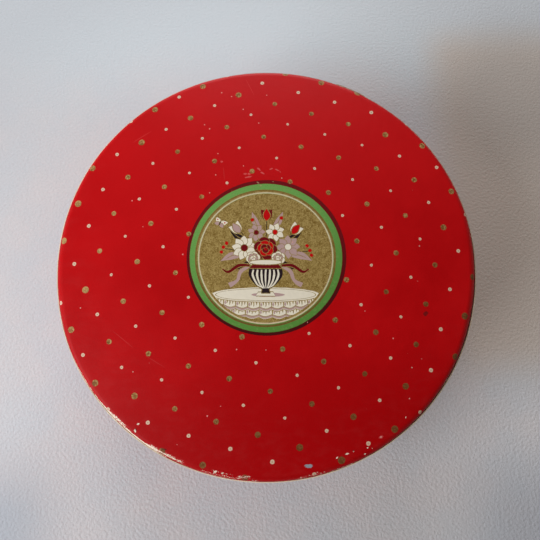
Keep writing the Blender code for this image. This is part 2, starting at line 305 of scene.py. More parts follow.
def printed_paper(name, with_medallion):
    """The red paper with gold and cream dots, and the medallion's rings on the top sheet."""
    look = Look(name, specular=0.07)
    place = look.attribute("sheet")
    ragged = look.span(look.noise(place, 2.6, 3.0, 0.6), -0.09, 0.09)
    fine = look.noise(place, 5.0, 3.0, 0.6)

    tone = look.noise(place, 0.07, 4.0, 0.6)
    ground = look.mix(print_red_deep, print_red, look.step(tone, 0.3, 0.7))
    ground = look.over(ground, print_red_deep, look.step(fine, 0.45, 0.75), 0.45)
    # Painted shade and light: the red is darker towards the bottom and lighter towards the top
    down = look.dot(place, painted_shade_direction)
    ground = look.mix(ground, red_in_painted_shade, look.step(down, 0.35, 0.95))
    ground = look.over(ground, red_in_painted_light, look.step(down, 0.2, -0.6), 0.5)

    steps = lattice(look, place)
    gold, gold_flat, gold_size, gold_luck = dots(look, place, steps, (0.0, 0.0, 0.0), gold_dot_radius,
                                                 ragged)
    cream, cream_flat, cream_size, _ = dots(look, place, steps, cream_dot_shift, cream_dot_radius,
                                            ragged)
    glint_distance = look.apart(gold_flat, look.pair(look.span(gold_luck, -0.26, 0.26), 0.24))
    glint = look.without(gold, look.disc(glint_distance, gold_size, 0.12))
    # Painted shade: the gold and cream dots are darker towards the lower right
    thin_ink_and_shade = look.step(look.dot(place, gold_shade_direction), 0.0, 0.9)

    metal, grain_value = speckled_gold(look, place, ink_gold, ink_gold_dark, 3.9)
    dark_grain = look.step(look.noise(place, 4.2, 2.0, 0.6), 0.5, 0.62)
    metal = look.over(metal, ink_gold_dark, dark_grain, 0.85)
    bright_grain = look.without(look.step(grain_value, 0.54, 0.66), dark_grain)
    # Painted highlights on the gold: near the window on the left, and the glint on one side of each dot
    near_window = look.step(look.apart(place, (-38.0, 2.0, 0.0)), 22.0, 4.0)
    for ink, mask, share in ((gold_bright_grain_and_highlight, bright_grain, 0.5), (gold_bright_grain_and_highlight, glint, 0.3),
                             (gold_in_painted_shade, thin_ink_and_shade, 0.8), (gold_bright_grain_and_highlight, near_window, 0.4)):
        metal = look.over(metal, ink, mask, share)

    rings = 0.0
    if with_medallion:
        ground, rings = medallion_ground(look, place, ground, ragged)
    printed = look.mix(ground, metal, look.without(gold, rings))
    cream_core = look.disc(look.length(cream_flat), look.times(cream_size, 0.42), 0.09)
    dot_cream = look.over(ink_cream_dot, ink_cream_core_and_shade, cream_core, 0.95)
    # Painted shade on the cream dots towards the lower right
    dot_cream = look.over(dot_cream, ink_cream_core_and_shade, thin_ink_and_shade, 0.35)
    printed = look.mix(printed, dot_cream, look.without(cream, rings))
    inked = look.either(gold, cream)
    if with_medallion:
        printed, inked = medallion_face(look, place, printed, inked, rings, ragged, fine)

    worn, bare = wear(look, place, printed, fine, with_medallion)
    rough = look.plus(look.span(fine, 0.36, 0.5), look.times(bare, 0.3))
    height = look.plus(look.times(inked, 0.25), look.times(fine, 0.35))
    height = look.plus(height, look.times(look.noise(place, 0.55, 3.0, 0.5), 1.2))
    return look.finish(worn, rough, look.minus(height, bare), 0.03)


def medallion_ground(look, place, ground, ragged):
    """Dark ring under the green one, where the two printings overlap, and the green one's mask."""
    dark, green = (
        look.disc(look.far_from(place, centre, look.times(ragged, tear)), radius, softness)
        for (centre, radius), tear, softness in ((dark_ring, 0.6, 0.06), (green_ring, 0.5, 0.04)))
    # Painted shade: the dark ring turns near black towards the bottom
    near = look.dot(place, (0.0, 1.0 / 16.0, 0.0))
    maroon = look.mix(colour(66, 10, 12), ink_maroon, look.step(near, -0.8, 0.5))
    return look.mix(ground, maroon, dark), green


def medallion_face(look, place, printed, inked, green, ragged, fine):
    """Green ring, gold field, cream line and the painted motif."""
    slight = look.times(ragged, 0.5)
    # Painted shade: the green ring is darker towards the lower right
    shade = look.step(look.dot(place, (-0.35 / 15.0, 0.85 / 15.0, 0.0)), -1.0, 0.9)
    green_ink = look.mix(green_deep_and_shade, ink_green, shade)
    green_ink = look.over(green_ink, green_deep_and_shade, look.step(fine, 0.45, 0.7), 0.6)
    mottle = look.step(look.noise(place, 1.3, 4.0, 0.65), 0.5, 0.7)
    green_ink = look.over(green_ink, colour(122, 148, 84), mottle, 0.5)
    made = look.mix(printed, green_ink, green)

    field_centre, field_radius = gold_field
    field_distance = look.far_from(place, field_centre, slight)
    field = look.disc(field_distance, field_radius, 0.05)
    metal, grain_value = speckled_gold(look, place, ink_field, ink_field_dark, 5.2)
    spark = look.without(look.step(grain_value, 0.74, 0.84), look.step(fine, 0.45, 0.55))
    metal = look.over(metal, colour(198, 178, 120), spark, 0.55)
    rim = look.without(field, look.disc(field_distance, field_radius - 0.34, 0.12))
    made = look.mix(made, look.over(metal, ink_field_dark, rim, 0.75), field)

    line_centre, line_radius = cream_line
    outside = look.without(field, look.disc(look.far_from(place, line_centre, slight), line_radius))
    lower = look.step(look.dot(place, (0.0, -1.0 / 14.0, 0.0)), -0.1, 0.9)
    made = look.over(made, colour(84, 62, 28), look.times(outside, lower), 0.5)
    shifted = (line_centre[0], line_centre[1] - 0.11, 0.0)
    inner = line_radius - 0.5 * cream_line_width
    outer = inner + cream_line_width
    shadow = look.ring(place, shifted, inner + 0.06, outer + 0.08, slight)
    made = look.over(made, green_ink, shadow, 0.8)
    line = look.ring(place, line_centre, inner, outer, slight)
    made = look.over(made, ink_line, line, look.span(look.step(fine, 0.35, 0.7), 1.0, 0.75))

    cover = look.attribute("ink", "Alpha")
    thin_ink_and_shade = look.span(look.noise(place, 1.4, 4.0, 0.6), 0.9, 1.06)
    made = look.mix(made, look.scaled(look.attribute("ink", "Color"), thin_ink_and_shade), cover)
    return made, reduce(look.either, (cover, line, look.times(field, 0.6), inked))


# Marks on the lid's top: place on the flat sheet, length, width (millimetres), turn (degrees)
bare_marks = (
    (-24.44, -32.21, 0.54, 0.32, 20.0), (-25.00, -33.48, 0.40, 0.65, 15.0),
    (-9.54, -40.85, 0.79, 0.40, 25.0), (-8.23, -41.13, 0.36, 0.29, 0.0),
    (13.38, -38.32, 0.54, 0.29, 35.0), (15.27, -37.62, 0.72, 0.32, 10.0),
    (18.78, -37.72, 0.36, 0.32, 0.0), (19.24, -36.54, 0.29, 0.22, 0.0),
    (20.12, -36.66, 0.22, 0.18, 0.0), (26.78, -30.98, 0.22, 0.40, -20.0),
)
ring_marks = (
    (-1.75, 15.95, 0.75, 0.32, -35.0), (-1.14, 15.30, 0.5, 0.35, 0.0),
    (1.42, 16.14, 0.4, 0.16, 0.0), (-7.11, 14.04, 0.22, 0.16, 0.0),
)
grey_marks = ((8.05, -39.78, 1.65, 0.7, 2.0),)
# Dark marks: smudges of dirt, and in the first one a painted shadow inside a chip
dark_marks = (
    (-24.80, -33.25, 0.3, 0.6, 15.0), (-19.34, -36.83, 1.1, 0.4, -12.0),
    (16.55, -37.05, 0.4, 0.25, 30.0), (31.60, -11.16, 1.2, 0.9, 30.0),
)
pale_marks = (
    (-4.44, 17.90, 0.8, 0.5, 10.0), (-3.57, 17.90, 0.7, 0.45, -20.0),
    (-3.71, 17.22, 1.3, 0.45, 15.0), (-1.60, 19.02, 1.0, 0.4, -40.0),
    (-0.82, 18.10, 0.9, 0.35, -25.0), (0.99, 19.02, 0.7, 0.35, 20.0),
    (2.30, 18.75, 0.9, 0.3, -25.0), (2.91, 18.33, 0.4, 0.22, -30.0),
    (-9.42, 20.74, 0.6, 0.5, 0.0), (21.87, -34.62, 0.9, 0.5, 20.0),
)
# Faint scratches
faint_marks = (
    (-3.60, 38.70, 5.0, 0.13, -66.0), (-8.83, 18.00, 3.2, 0.13, -85.0), (-26.75, 26.90, 5.3, 0.2, 34.0),
    (-28.1, -16.2, 6.0, 0.14, -38.0), (-21.5, -20.5, 5.0, 0.12, -30.0),
)
# Specks of dust: place and radius
pale_specks = (
    (-9.82, 37.42, 0.13), (-7.62, 36.42, 0.11), (-5.03, 33.17, 0.12), (-13.28, 29.49, 0.11),
    (-12.16, 28.48, 0.13), (-10.21, 22.60, 0.11), (-10.54, 17.73, 0.12), (-4.79, 19.72, 0.11),
    (-11.69, 13.75, 0.11), (0.05, 36.70, 0.11), (-1.65, 29.78, 0.12), (3.21, 16.95, 0.11),
    (31.20, 2.61, 0.12), (-37.11, -9.99, 0.12), (-25.80, -22.46, 0.11), (28.35, -21.64, 0.12),
    (27.62, -27.50, 0.12), (21.85, -34.60, 0.13), (16.55, -37.18, 0.12), (9.68, -40.98, 0.13),
)


def marks(look, place, ragged, table):
    """Mask of a few small marks with torn edges."""
    masks = []
    for x, y, length, width, turn in table:
        from_mark = look.less(place, (x, y, 0.0))
        across, up = math.cos(math.radians(turn)), math.sin(math.radians(turn))
        spot = look.pair(look.dot(from_mark, (2.0 * across / length, 2.0 * up / length, 0.0)),
                         look.dot(from_mark, (-2.0 * up / width, 2.0 * across / width, 0.0)))
        masks.append(look.disc(look.plus(look.length(spot), ragged), 0.9, 0.2))
    return reduce(look.either, masks)


def wear(look, place, printed, fine, on_top):
    """Rubbed edges, specks and scuffs over the print, and the marks on the lid's top. On the lid's lower
    left edge the rubbing is partly a painted highlight, and one dark mark is a painted shadow.
    """
    torn = look.noise(place, 1.7, 5.0, 0.7)
    flecks = look.noise(place, 3.4, 4.0, 0.7)
    torn_or_flecked = look.plus(look.span(torn, -0.6, 0.6), look.span(flecks, -0.6, 0.6))
    worn = look.plus(look.attribute("wear", "Fac"), torn_or_flecked)
    bare = look.step(worn, 0.78, 0.84)
    speck_distance, _, luck = look.cells(place, 0.36)
    size = look.span(look.step(luck, 0.72, 1.0), 0.0, 0.055)
    speck = look.times(look.math("LESS_THAN", speck_distance, size), look.step(luck, 0.7, 0.95))
    # Rubbed red; on the lid's lower left edge it is partly a painted highlight
    made = look.over(printed, rubbed_red_and_highlight, look.step(worn, 0.5, 0.74), 0.55)
    made = look.over(made, colour(226, 150, 144), speck, 0.75)
    core = look.mix(paper_core, colour(190, 164, 134), look.step(fine, 0.4, 0.75))
    if not on_top:
        return look.mix(made, core, bare), bare

    ragged = look.span(torn, -0.9, 0.9)

    def marked(under, table, ink, share, tear=1.0):
        return look.over(under, ink, marks(look, place, look.times(ragged, tear), table), share)

    made = marked(made, pale_marks, scuffed_red, 0.48, tear=1.3)
    made = marked(made, ring_marks, colour(170, 146, 110), 0.6)
    made = marked(made, faint_marks, scuffed_red, 0.14, tear=0.0)
    specks = [look.disc(look.apart(place, (x, y, 0.0)), radius, 0.04) for x, y, radius in pale_specks]
    made = look.over(made, colour(214, 172, 160), reduce(look.either, specks), 0.8)
    smeared = look.noise(look.stretched(place, (0.3, 0.55, 1.0)), 1.0, 5.0, 0.65)
    near_rim = look.step(look.apart(place, (6.0, 12.0, 0.0)), 34.0, 52.0)
    haze = look.times(look.step(smeared, 0.42, 0.72), near_rim)
    made = look.over(made, colour(206, 128, 126), haze, 0.02)
    bare = look.either(bare, marks(look, place, ragged, bare_marks))
    made = look.mix(made, core, bare)
    made = marked(made, grey_marks, colour(138, 152, 162), 0.9, tear=0.8)
    return marked(made, dark_marks, colour(66, 20, 20), 0.7), bare


def polar(radius, angle, height=0.0):
    return Vector((radius * math.cos(angle), radius * math.sin(angle), height))


def angles(count):
    return [full_turn * step / count for step in range(count)]


def ramp(value, start, end):
    share = min(max((value - start) / (end - start), 0.0), 1.0)
    return share * share * (3.0 - 2.0 * share)


def between(table, value):
    """Value read from a table of pairs, straight between them."""
    places, values = zip(*table)
    return float(np.interp(value, places, values))


def waviness(angle, run, cell=0.008, seed=0.0):
    """Smooth noise round a turned shape, from about -1 to 1."""
    radius = sheet_radius / cell
    return noise.noise(Vector((radius * math.cos(angle) + seed, radius * math.sin(angle), run / cell)))


def rough(point, cell, seed=0.0):
    """Smooth noise over a flat piece, from about -1 to 1."""
    return noise.noise(Vector((point.x / cell, point.y / cell, seed)))


def dome_point(run, depth=0.0):
    """Distance from the axis and height on the crown, at an arc length from its middle."""
    angle, reach = run / dome_radius, dome_radius - depth
    return reach * math.sin(angle), crown_centre + reach * math.cos(angle)


def out_of_round(angle):
    return (0.1 * math.cos(2.0 * angle) + 0.08 * math.sin(angle)) * mm


def edge_runs(angle):
    """Where the edge's rounding starts and ends, as arc lengths, with its centre and its radius."""
    rounding = between(edge_rounding, math.degrees(angle) % 360.0) * mm
    centre = sheet_reach + out_of_round(angle) - rounding
    lean = math.asin(centre / (dome_radius - rounding))
    height = crown_centre + (dome_radius - rounding) * math.cos(lean)
    start = dome_radius * lean
    return start, start + rounding * (0.5 * math.pi - lean), lean, centre, height, rounding


def sheet_point(angle, run, depth):
    """Distance from the axis and height on the drawn sheet."""
    start, end, lean, centre, height, rounding = edge_runs(angle)
    if run <= start:
        return dome_point(run, depth)
    reach = rounding - depth
    if run <= end:
        turn = lean + (run - start) / rounding
        return centre + reach * math.sin(turn), height + reach * math.cos(turn)
    return centre + reach, height - (run - end)


# How far the bare paper reaches up the rounded edge: angle (degrees) and reach (millimetres). From about
# 205 to 222 degrees the rubbed paper is partly wear and partly a painted highlight.
edge_wear_and_highlight_reach = (
    (0.0, 0.25), (60.0, 0.15), (120.0, 0.3), (185.0, 0.25), (203.0, 0.35), (208.0, 0.9), (216.0, 1.05),
    (222.0, 1.0), (225.0, 1.3), (227.0, 1.7), (231.0, 1.6), (232.5, 1.05), (237.5, 1.05), (239.0, 1.7),
    (243.5, 1.7), (248.0, 1.95), (249.5, 1.3), (251.0, 0.5), (254.0, 1.7), (257.0, 2.1), (262.0, 2.0),
    (266.0, 2.05), (269.0, 1.0), (277.0, 1.0), (279.0, 1.45), (285.0, 1.4), (287.0, 0.85), (293.5, 0.8),
    (296.0, 0.5), (318.0, 0.35), (323.5, 0.6), (324.5, 1.0), (328.0, 1.0), (329.0, 0.6), (335.0, 0.3),
    (360.0, 0.25),
)
# Strength of the rubbing at each angle; from about 205 to 222 degrees it is partly a painted highlight
edge_wear_and_highlight_strength = (
    (0.0, 0.25), (185.0, 0.25), (204.0, 0.45), (210.0, 0.78), (219.0, 0.82), (222.0, 1.1), (225.0, 0.95),
    (231.0, 0.95), (232.5, 1.5), (237.5, 1.5), (239.0, 1.0), (243.5, 0.9), (248.0, 0.8), (250.0, 0.3),
    (254.0, 0.7), (262.0, 0.74), (267.0, 0.7), (270.0, 0.4), (278.0, 0.55), (279.0, 0.68), (285.0, 0.68),
    (287.0, 0.95), (293.5, 0.9), (296.0, 0.35), (323.0, 0.3), (324.5, 0.95), (328.0, 0.9), (329.5, 0.3),
    (360.0, 0.25),
)
# On this stretch only the upper part of the edge is bare
streaked_edge_start = (241.5, 245.0)
streaked_edge_end = (250.0, 248.0)


def top_wear_and_highlight(angle, run):
    """Wear of the top sheet, from 0 to about 1, at a place on it; on part of the lower left edge it is
    partly a painted highlight.
    """
    degrees = math.degrees(angle) % 360.0
    end = edge_runs(angle)[1]
    start = end - between(edge_wear_and_highlight_reach, degrees) * mm
    made = between(edge_wear_and_highlight_strength, degrees) * ramp(run, start - 0.2 * mm, start + 0.2 * mm)
    streaked = ramp(degrees, *streaked_edge_start) * ramp(degrees, *streaked_edge_end)
    made *= 1.0 - 0.6 * streaked * ramp(run, end - 1.1 * mm, end - 0.6 * mm)
    streak = noise.noise(Vector((sheet_radius * angle / (2.6 * mm), run / (0.32 * mm), 5.0)))
    return made * (1.0 - 0.5 * ramp(degrees, 225.0, 231.0) * ramp(streak, -0.05, 0.3))


def new_piece(name, shape, materials, body, node):
    """An object from a bmesh, riding on its body and standing for its node."""
    mesh = bpy.data.meshes.new(name)
    shape.to_mesh(mesh)
    shape.free()
    mesh.shade_smooth()
    mesh.set_sharp_from_angle(angle=math.radians(35.0))
    for material in materials:
        mesh.materials.append(material)
    piece = bpy.data.objects.new(name, mesh)
    bpy.context.scene.collection.objects.link(piece)
    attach(piece, body)
    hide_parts(node)
    return piece


def bridge(shape, first, second, material=0):
    """Faces between two closed rows of points."""
    for index in range(len(first)):
        following = (index + 1) % len(first)
        face = shape.faces.new((first[index], first[following], second[following], second[index]))
        face.material_index = material


def fan(shape, row, middle, material=0):
    """Faces between a closed row of points and one in its middle."""
    for index, point in enumerate(row):
        shape.faces.new((point, row[(index + 1) % len(row)], middle)).material_index = material


def all_facing_out(shape):
    bmesh.ops.recalc_face_normals(shape, faces=shape.faces)
    return shape


def make_top_sheet(print_material, back_material):
    """Printed sheet over the crown and the rounded edge, turned down under the side band."""
    shape = bmesh.new()
    sheet = shape.verts.layers.float_vector.new("sheet")
    worn = shape.verts.layers.float.new("wear")
    ink = shape.loops.layers.float_color.new("ink")
    hem_run = edge_run + (shoulder - low("lid_top_sheet").z) - 0.1 * mm

    def new_point(angle, run, depth):
        slack = ramp(run, dome_run - 2.0 * mm, edge_run) * (0.03 * mm) * waviness(angle, run, 0.004)
        loose = 0.13 * mm * max(math.cos(angle - loose_side), 0.0) ** 8
        loose += 0.06 * mm * max(math.cos(angle - lifted_side), 0.0) ** 12
        slack -= loose * ramp(run, dome_run, edge_run)
        radius, height = sheet_point(angle, run, depth - slack)
        point = shape.verts.new(polar(radius, angle, height))
        point[sheet] = polar(run / mm, angle)
        point[worn] = top_wear_and_highlight(angle, run) if depth == 0.0 else 0.0
        return point

    def new_ring(run, depth):
        return [new_point(angle, run, depth) for angle in angles(round_steps)]

    edge_start, edge_end = dome_run - 1.0 * mm, edge_run + 1.0 * mm
    runs = list(np.linspace(medallion_reach * mm, edge_start, 18))
    runs += list(np.linspace(edge_start, edge_end, 31))[1:]
    runs += list(np.linspace(edge_end, hem_run, 5))[1:]
    outer = [new_ring(run, 0.0) for run in runs]
    for first, second in pairwise(outer):
        bridge(shape, second, first)
    inner = [new_ring(run, paper) for run in (runs[::2] if len(runs) % 2 else runs[::2] + runs[-1:])]
    for first, second in pairwise(inner + outer[-1:]):
        bridge(shape, first, second, material=1)
    fan(shape, inner[0], new_point(0.0, 0.0, paper), material=1)

    for face in shape.faces:
        for loop in face.loops:
            loop[ink] = (0.0, 0.0, 0.0, 0.0)
    fill_medallion(shape, outer[0], new_point, ink)
    shape.normal_update()
    new_piece("top_sheet_print", shape, (print_material, back_material), "lid",
              "lid_top_sheet")


def fill_medallion(shape, rim, new_point, ink):
    """The middle of the sheet, cut along the motif's outlines so that each face has one ink."""
    motif = motif_shapes()
    points, edges = [], []
    for outline in [[polar(medallion_reach, angle).xy for angle in angles(round_steps)]] + [
            outline for _, outline in motif]:
        start, count = len(points), len(outline)
        points.extend(Vector(point) for point in outline)
        edges.extend((start + index, start + (index + 1) % count) for index in range(count))
    spacing = 0.85
    rows = int(medallion_reach / spacing) + 1
    for row in range(-rows, rows + 1):
        for column in range(-rows, rows + 1):
            x = spacing * (column + 0.5 * (row % 2))
            y = spacing * 0.866 * row
            if math.hypot(x, y) < medallion_reach - 0.5 * spacing:
                points.append(Vector((x, y)))

    flat, _, faces, sources, _, _ = geometry.delaunay_2d_cdt(points, edges, [], 0, 1e-5, True)
    made = []
    for place, origins in zip(flat, sources):
        on_rim = [source for source in origins if source < round_steps]
        made.append(rim[on_rim[0]] if on_rim else
                    new_point(math.atan2(place.y, place.x), place.length * mm, 0.0))
    centres = np.array([sum((flat[index] for index in face), Vector((0.0, 0.0))) / len(face)
                        for face in faces])
    for face, paint_colour in zip(faces, paint(centres, motif)):
        new_face = shape.faces.new([made[index] for index in face])
        new_face.normal_update()
        if new_face.normal.z < 0.0:
            new_face.normal_flip()
        for loop in new_face.loops:
            loop[ink] = paint_colour


def paint(centres, motif):
    """Ink at each place: that of the last shape that holds it."""
    paints = np.zeros((len(centres), 4))
    x, y = centres[:, 0], centres[:, 1]
    for ink, outline in motif:
        inside = np.zeros(len(centres), bool)
        corners = np.array(outline)
        for (x1, y1), (x2, y2) in zip(corners, np.roll(corners, -1, axis=0)):
            if y1 != y2:
                crossing = (y1 > y) != (y2 > y)
                inside ^= crossing & (x < (x2 - x1) * (y - y1) / (y2 - y1) + x1)
        paints[inside] = ink or 0.0
    return [tuple(row) for row in paints]


class Motif:
    """Painted shapes on the medallion, in millimetres from its centre. Later ones lie on top."""

    def __init__(self):
        self.shapes = []
        self.reach = 12.9

    def add(self, ink, outline, gap=0.16):
        """A shape in one ink, with a line of bare gold round it."""
        points = [self.inside(self.wobble(Vector(point))) for point in outline]
        if gap > 0.0:
            self.shapes.append((None, self.grown(points, gap)))
        self.shapes.append((ink, points))

    def flat(self, ink, outline):
        self.add(ink, outline, gap=0.0)

    def cut(self, outline):
        """A place where the ink leaves the gold bare."""
        self.flat(None, outline)

    def inside(self, point):
        return point if point.length <= self.reach else point * (self.reach / point.length)

    def wobble(self, point):
        shift = noise.noise_vector(Vector((point.x * 0.9, point.y * 0.9, 0.3))) * 0.07
        return Vector((point.x + shift.x, point.y + shift.y))

    def grown(self, points, gap):
        """The outline moved outwards by a gap."""
        area = sum(a.x * b.y - b.x * a.y for a, b in zip(points, points[1:] + points[:1]))
        side = 1.0 if area > 0.0 else -1.0
        made = []
        for index, point in enumerate(points):
            along = points[(index + 1) % len(points)] - points[index - 1]
            along = along.normalized() if along.length >= 1e-6 else Vector((1.0, 0.0))
            made.append(self.inside(point + Vector((along.y, -along.x)) * (side * gap)))
        return made


def smooth_line(points, steps=5):
    """Points on a smooth curve through the given ones."""
    corners = [Vector(point) for point in points]
    made = []
    for index, (b, c) in enumerate(pairwise(corners)):
        a = corners[index - 1] if index > 0 else b * 2.0 - c
        d = corners[index + 2] if index + 2 < len(corners) else c * 2.0 - b
        for step in range(steps):
            t = step / steps
            made.append(0.5 * (2.0 * b + (c - a) * t + (2.0 * a - 5.0 * b + 4.0 * c - d) * t * t
                               + (3.0 * b - a - 3.0 * c + d) * t ** 3))
    return made + corners[-1:]


def brush(points, widths, steps=5):
    """Outline of a brush stroke along a curve, as wide as the widths say from its start to its end."""
    line = smooth_line(points, steps)
    last = len(line) - 1
    left, right = [], []
    for index, point in enumerate(line):
        along = (line[min(index + 1, last)] - line[max(index - 1, 0)]).normalized()
        half = 0.5 * float(np.interp(index / last, np.linspace(0.0, 1.0, len(widths)), widths))
        across = Vector((-along.y, along.x)) * half
        left.append(point + across)
        right.append(point - across)
    return left + right[::-1]


def turned(x, y, u, v, angle):
    """A place u along a direction and v to its left, seen from x, y."""
    return (x + u * math.cos(angle) - v * math.sin(angle),
            y + u * math.sin(angle) + v * math.cos(angle))


def ahead(x, y, reach, turn):
    """A place at some distance from x, y in a direction given in degrees."""
    return turned(x, y, reach, 0.0, math.radians(turn))


def oval(x, y, wide, tall, turn=0.0, steps=20):
    return [turned(x, y, wide * math.cos(phase), tall * math.sin(phase), math.radians(turn))
            for phase in angles(steps)]


def leaf(x, y, length, width, turn, bend=0.0, steps=9):
    """A pointed leaf that grows from a place, turned and bent to one side."""
    sides = []
    for side in (1.0, -1.0):
        row = []
        for step in range(steps + 1):
            share = step / steps
            half = 0.5 * width * math.sin(math.pi * share ** 0.8)
            row.append(turned(x, y, length * share, bend * math.sin(math.pi * share) + side * half,
                              math.radians(turn)))
        sides.append(row)
    return sides[0] + sides[1][-2:0:-1]


def paint_daisy(motif, x, y, radius, count, ink, heart, turn):
    """A flower of separate petals round a heart."""
    for number in range(count):
        angle = turn + 360.0 * number / count
        motif.add(ink, leaf(*ahead(x, y, 0.22 * radius, angle), radius * 0.8, radius * 0.6, angle,
                            0.04 * radius), gap=0.11)
    motif.add(heart, oval(x, y, 0.27 * radius, 0.27 * radius, steps=12), gap=0.11)


def paint_rose(motif, x, y, radius, ink, shade, turn):
    """A full rose: round petals that overlap one another about a curled heart."""
    for count, reach, size, petal in (
            (6, 0.58, 0.44, ink), (5, 0.36, 0.34, shade), (3, 0.17, 0.25, ink)):
        for number in range(count):
            angle = math.radians(turn + 360.0 * number / count + 50.0 * reach)
            motif.add(petal, oval(*turned(x, y, reach * radius, 0.0, angle), size * radius,
                                  0.86 * size * radius, math.degrees(angle) + 90.0, 16), gap=0.1)
    curl = [ahead(x, y, 0.03 * step * radius, turn + 60.0 * step) for step in range(7)]
    motif.flat(shade, brush(curl, (0.05 * radius, 0.09 * radius, 0.04 * radius), 3))


def paint_tulip(motif, x, y, size, turn, ink, shade):
    """A cup of three petals."""
    for side in (1.0, -1.0):
        motif.add(ink, leaf(x, y, size, size * 0.62, turn + side * 26.0, side * -0.12 * size))
    motif.add(shade, leaf(x, y, size * 0.95, size * 0.5, turn))


# Cloth on the round table: middle and half sizes of the table's top, and how deep its frills hang
cloth_middle = -7.75
cloth_half = (10.7, 1.45)
frill_depth = 1.75


def cloth_front(x, fall):
    """Height of the cloth's front at a place across, some way below the table's edge."""
    share = min(abs(x) / cloth_half[0], 1.0)
    return cloth_middle - cloth_half[1] * math.sqrt(1.0 - share * share) - fall


def paint_frill(motif, fall, scallops, shift):
    """One frill: scalloped below, with a shaded hem, gathers at its top and folds down to its hem."""
    half = cloth_half[0] - 0.1
    width = 2.0 * half / scallops
    bounds = [-half + width * (number + shift - 1.0) for number in range(scallops + 1)]
    hem = []
    for left in bounds:
        for step in range(6):
            x = left + width * step / 6
            if abs(x) <= half:
                bow = 0.42 * math.sin(math.pi * step / 6)
                hem.append((x, cloth_front(x, fall + frill_depth - 0.3 + bow)))
    head = [(x, cloth_front(x, fall)) for x in np.linspace(half, -half, 25)]
    motif.add(ink_cream, hem + head, gap=0.14)
    inner = [(x, y + 0.42) for x, y in hem]
    motif.flat(ink_mauve, [(x, y + 0.08) for x, y in hem] + inner[::-1])
    motif.cut(inner + [(x, y + 0.14) for x, y in inner[::-1]])
    for left in bounds:
        for part, length in ((0.0, 0.95), (0.3, 0.5), (0.52, 0.66), (0.76, 0.46)):
            x = left + width * part
            if abs(x) < half - 0.2:
                top = cloth_front(x, fall + 0.05)
                end = cloth_front(x, fall + length * (frill_depth - 0.3))
                motif.cut(brush(((x, top), (x * 1.004 + 0.05, 0.5 * (top + end)), (x * 1.01, end)),
                                (0.25, 0.2, 0.08), 3))
        x = left + width * 0.15
        if abs(x) < half - 0.4:
            fold = [(x, cloth_front(x, fall + drop)) for drop in (0.2, 0.9)]
            motif.flat(ink_mauve, brush(fold, (0.14, 0.44, 0.1), 3))


def paint_cloth(motif):
    """A cloth with two frills over a round table, at the foot of the medallion."""
    paint_frill(motif, frill_depth - 0.25, 8, 0.5)
    paint_frill(motif, 0.0, 9, 0.0)
    edge = oval(0.0, cloth_middle, *cloth_half, steps=48)

    def within(wide, tall):
        return [(x * wide, cloth_middle + (y - cloth_middle) * tall) for x, y in edge]

    motif.add(ink_cream, edge, gap=0.13)
    motif.cut(within(0.93, 0.86))
    motif.flat(ink_cream, within(0.915, 0.8))
    motif.flat(ink_mauve, oval(0.5, cloth_middle - 0.05, 3.3, 0.42, steps=24))


def paint_urn(motif):
    """A fluted vase on a foot, with a banded neck."""
    half = smooth_line([(0.9, -7.4), (0.75, -6.6), (2.2, -5.6), (3.35, -3.9), (3.2, -2.4), (2.3, -1.5)])
    motif.add(ink_cream, [(-1.9, -8.0), (1.9, -8.0), (1.5, -7.3), (-1.5, -7.3)])
    motif.add(ink_black, half + [Vector((-point.x, point.y)) for point in half[::-1]])
    for number in (-3, -2, -1, 1, 2, 3):
        lean = number / 3.6
        stripe = [(0.62 * lean, -6.5), (2.1 * lean, -5.6), (3.05 * lean, -3.9), (2.9 * lean, -2.75)]
        motif.flat(ink_cream, brush(stripe, (0.12, 0.3, 0.42, 0.3)))
    motif.flat(ink_cream, brush(((0.0, -6.5), (0.0, -4.2), (0.0, -2.75)), (0.12, 0.34, 0.32)))
    motif.add(ink_maroon, [(-3.2, -2.45), (3.2, -2.45), (2.65, -1.75), (-2.65, -1.75)])
    motif.add(ink_cream, oval(0.0, -1.25, 3.2, 0.45))


def paint_bow(motif):
    """Ribbon tails that hang from the vase on both sides."""
    for side in (-1.0, 1.0):
        for ink, widths, line in (
                (ink_mauve, (0.45, 0.8, 0.6, 1.0), ((3.3, -2.1), (5.0, -3.2), (5.6, -4.9), (7.2, -5.9))),
                (ink_maroon, (0.35, 0.6, 0.5, 0.2), ((3.2, -1.9), (5.4, -1.9), (7.4, -3.2), (8.6, -2.6)))):
            motif.add(ink, brush([(side * x, y) for x, y in line], widths))


def paint_butterfly(motif, x, y, size, turn):
    """Two pairs of wings and a thin body."""
    for side in (-1.0, 1.0):
        upper = turn + side * 58.0
        motif.add(ink_cream, leaf(x, y, size, size * 0.62, upper), gap=0.1)
        motif.add(ink_mauve, leaf(x, y, size * 0.72, size * 0.5, turn + side * 118.0), gap=0.1)
        motif.flat(print_red, oval(*ahead(x, y, 0.62 * size, upper), 0.1 * size, 0.1 * size, steps=8))
    motif.add(ink_black, leaf(*ahead(x, y, -0.4 * size, turn), size * 0.85, 0.22, turn), gap=0.06)


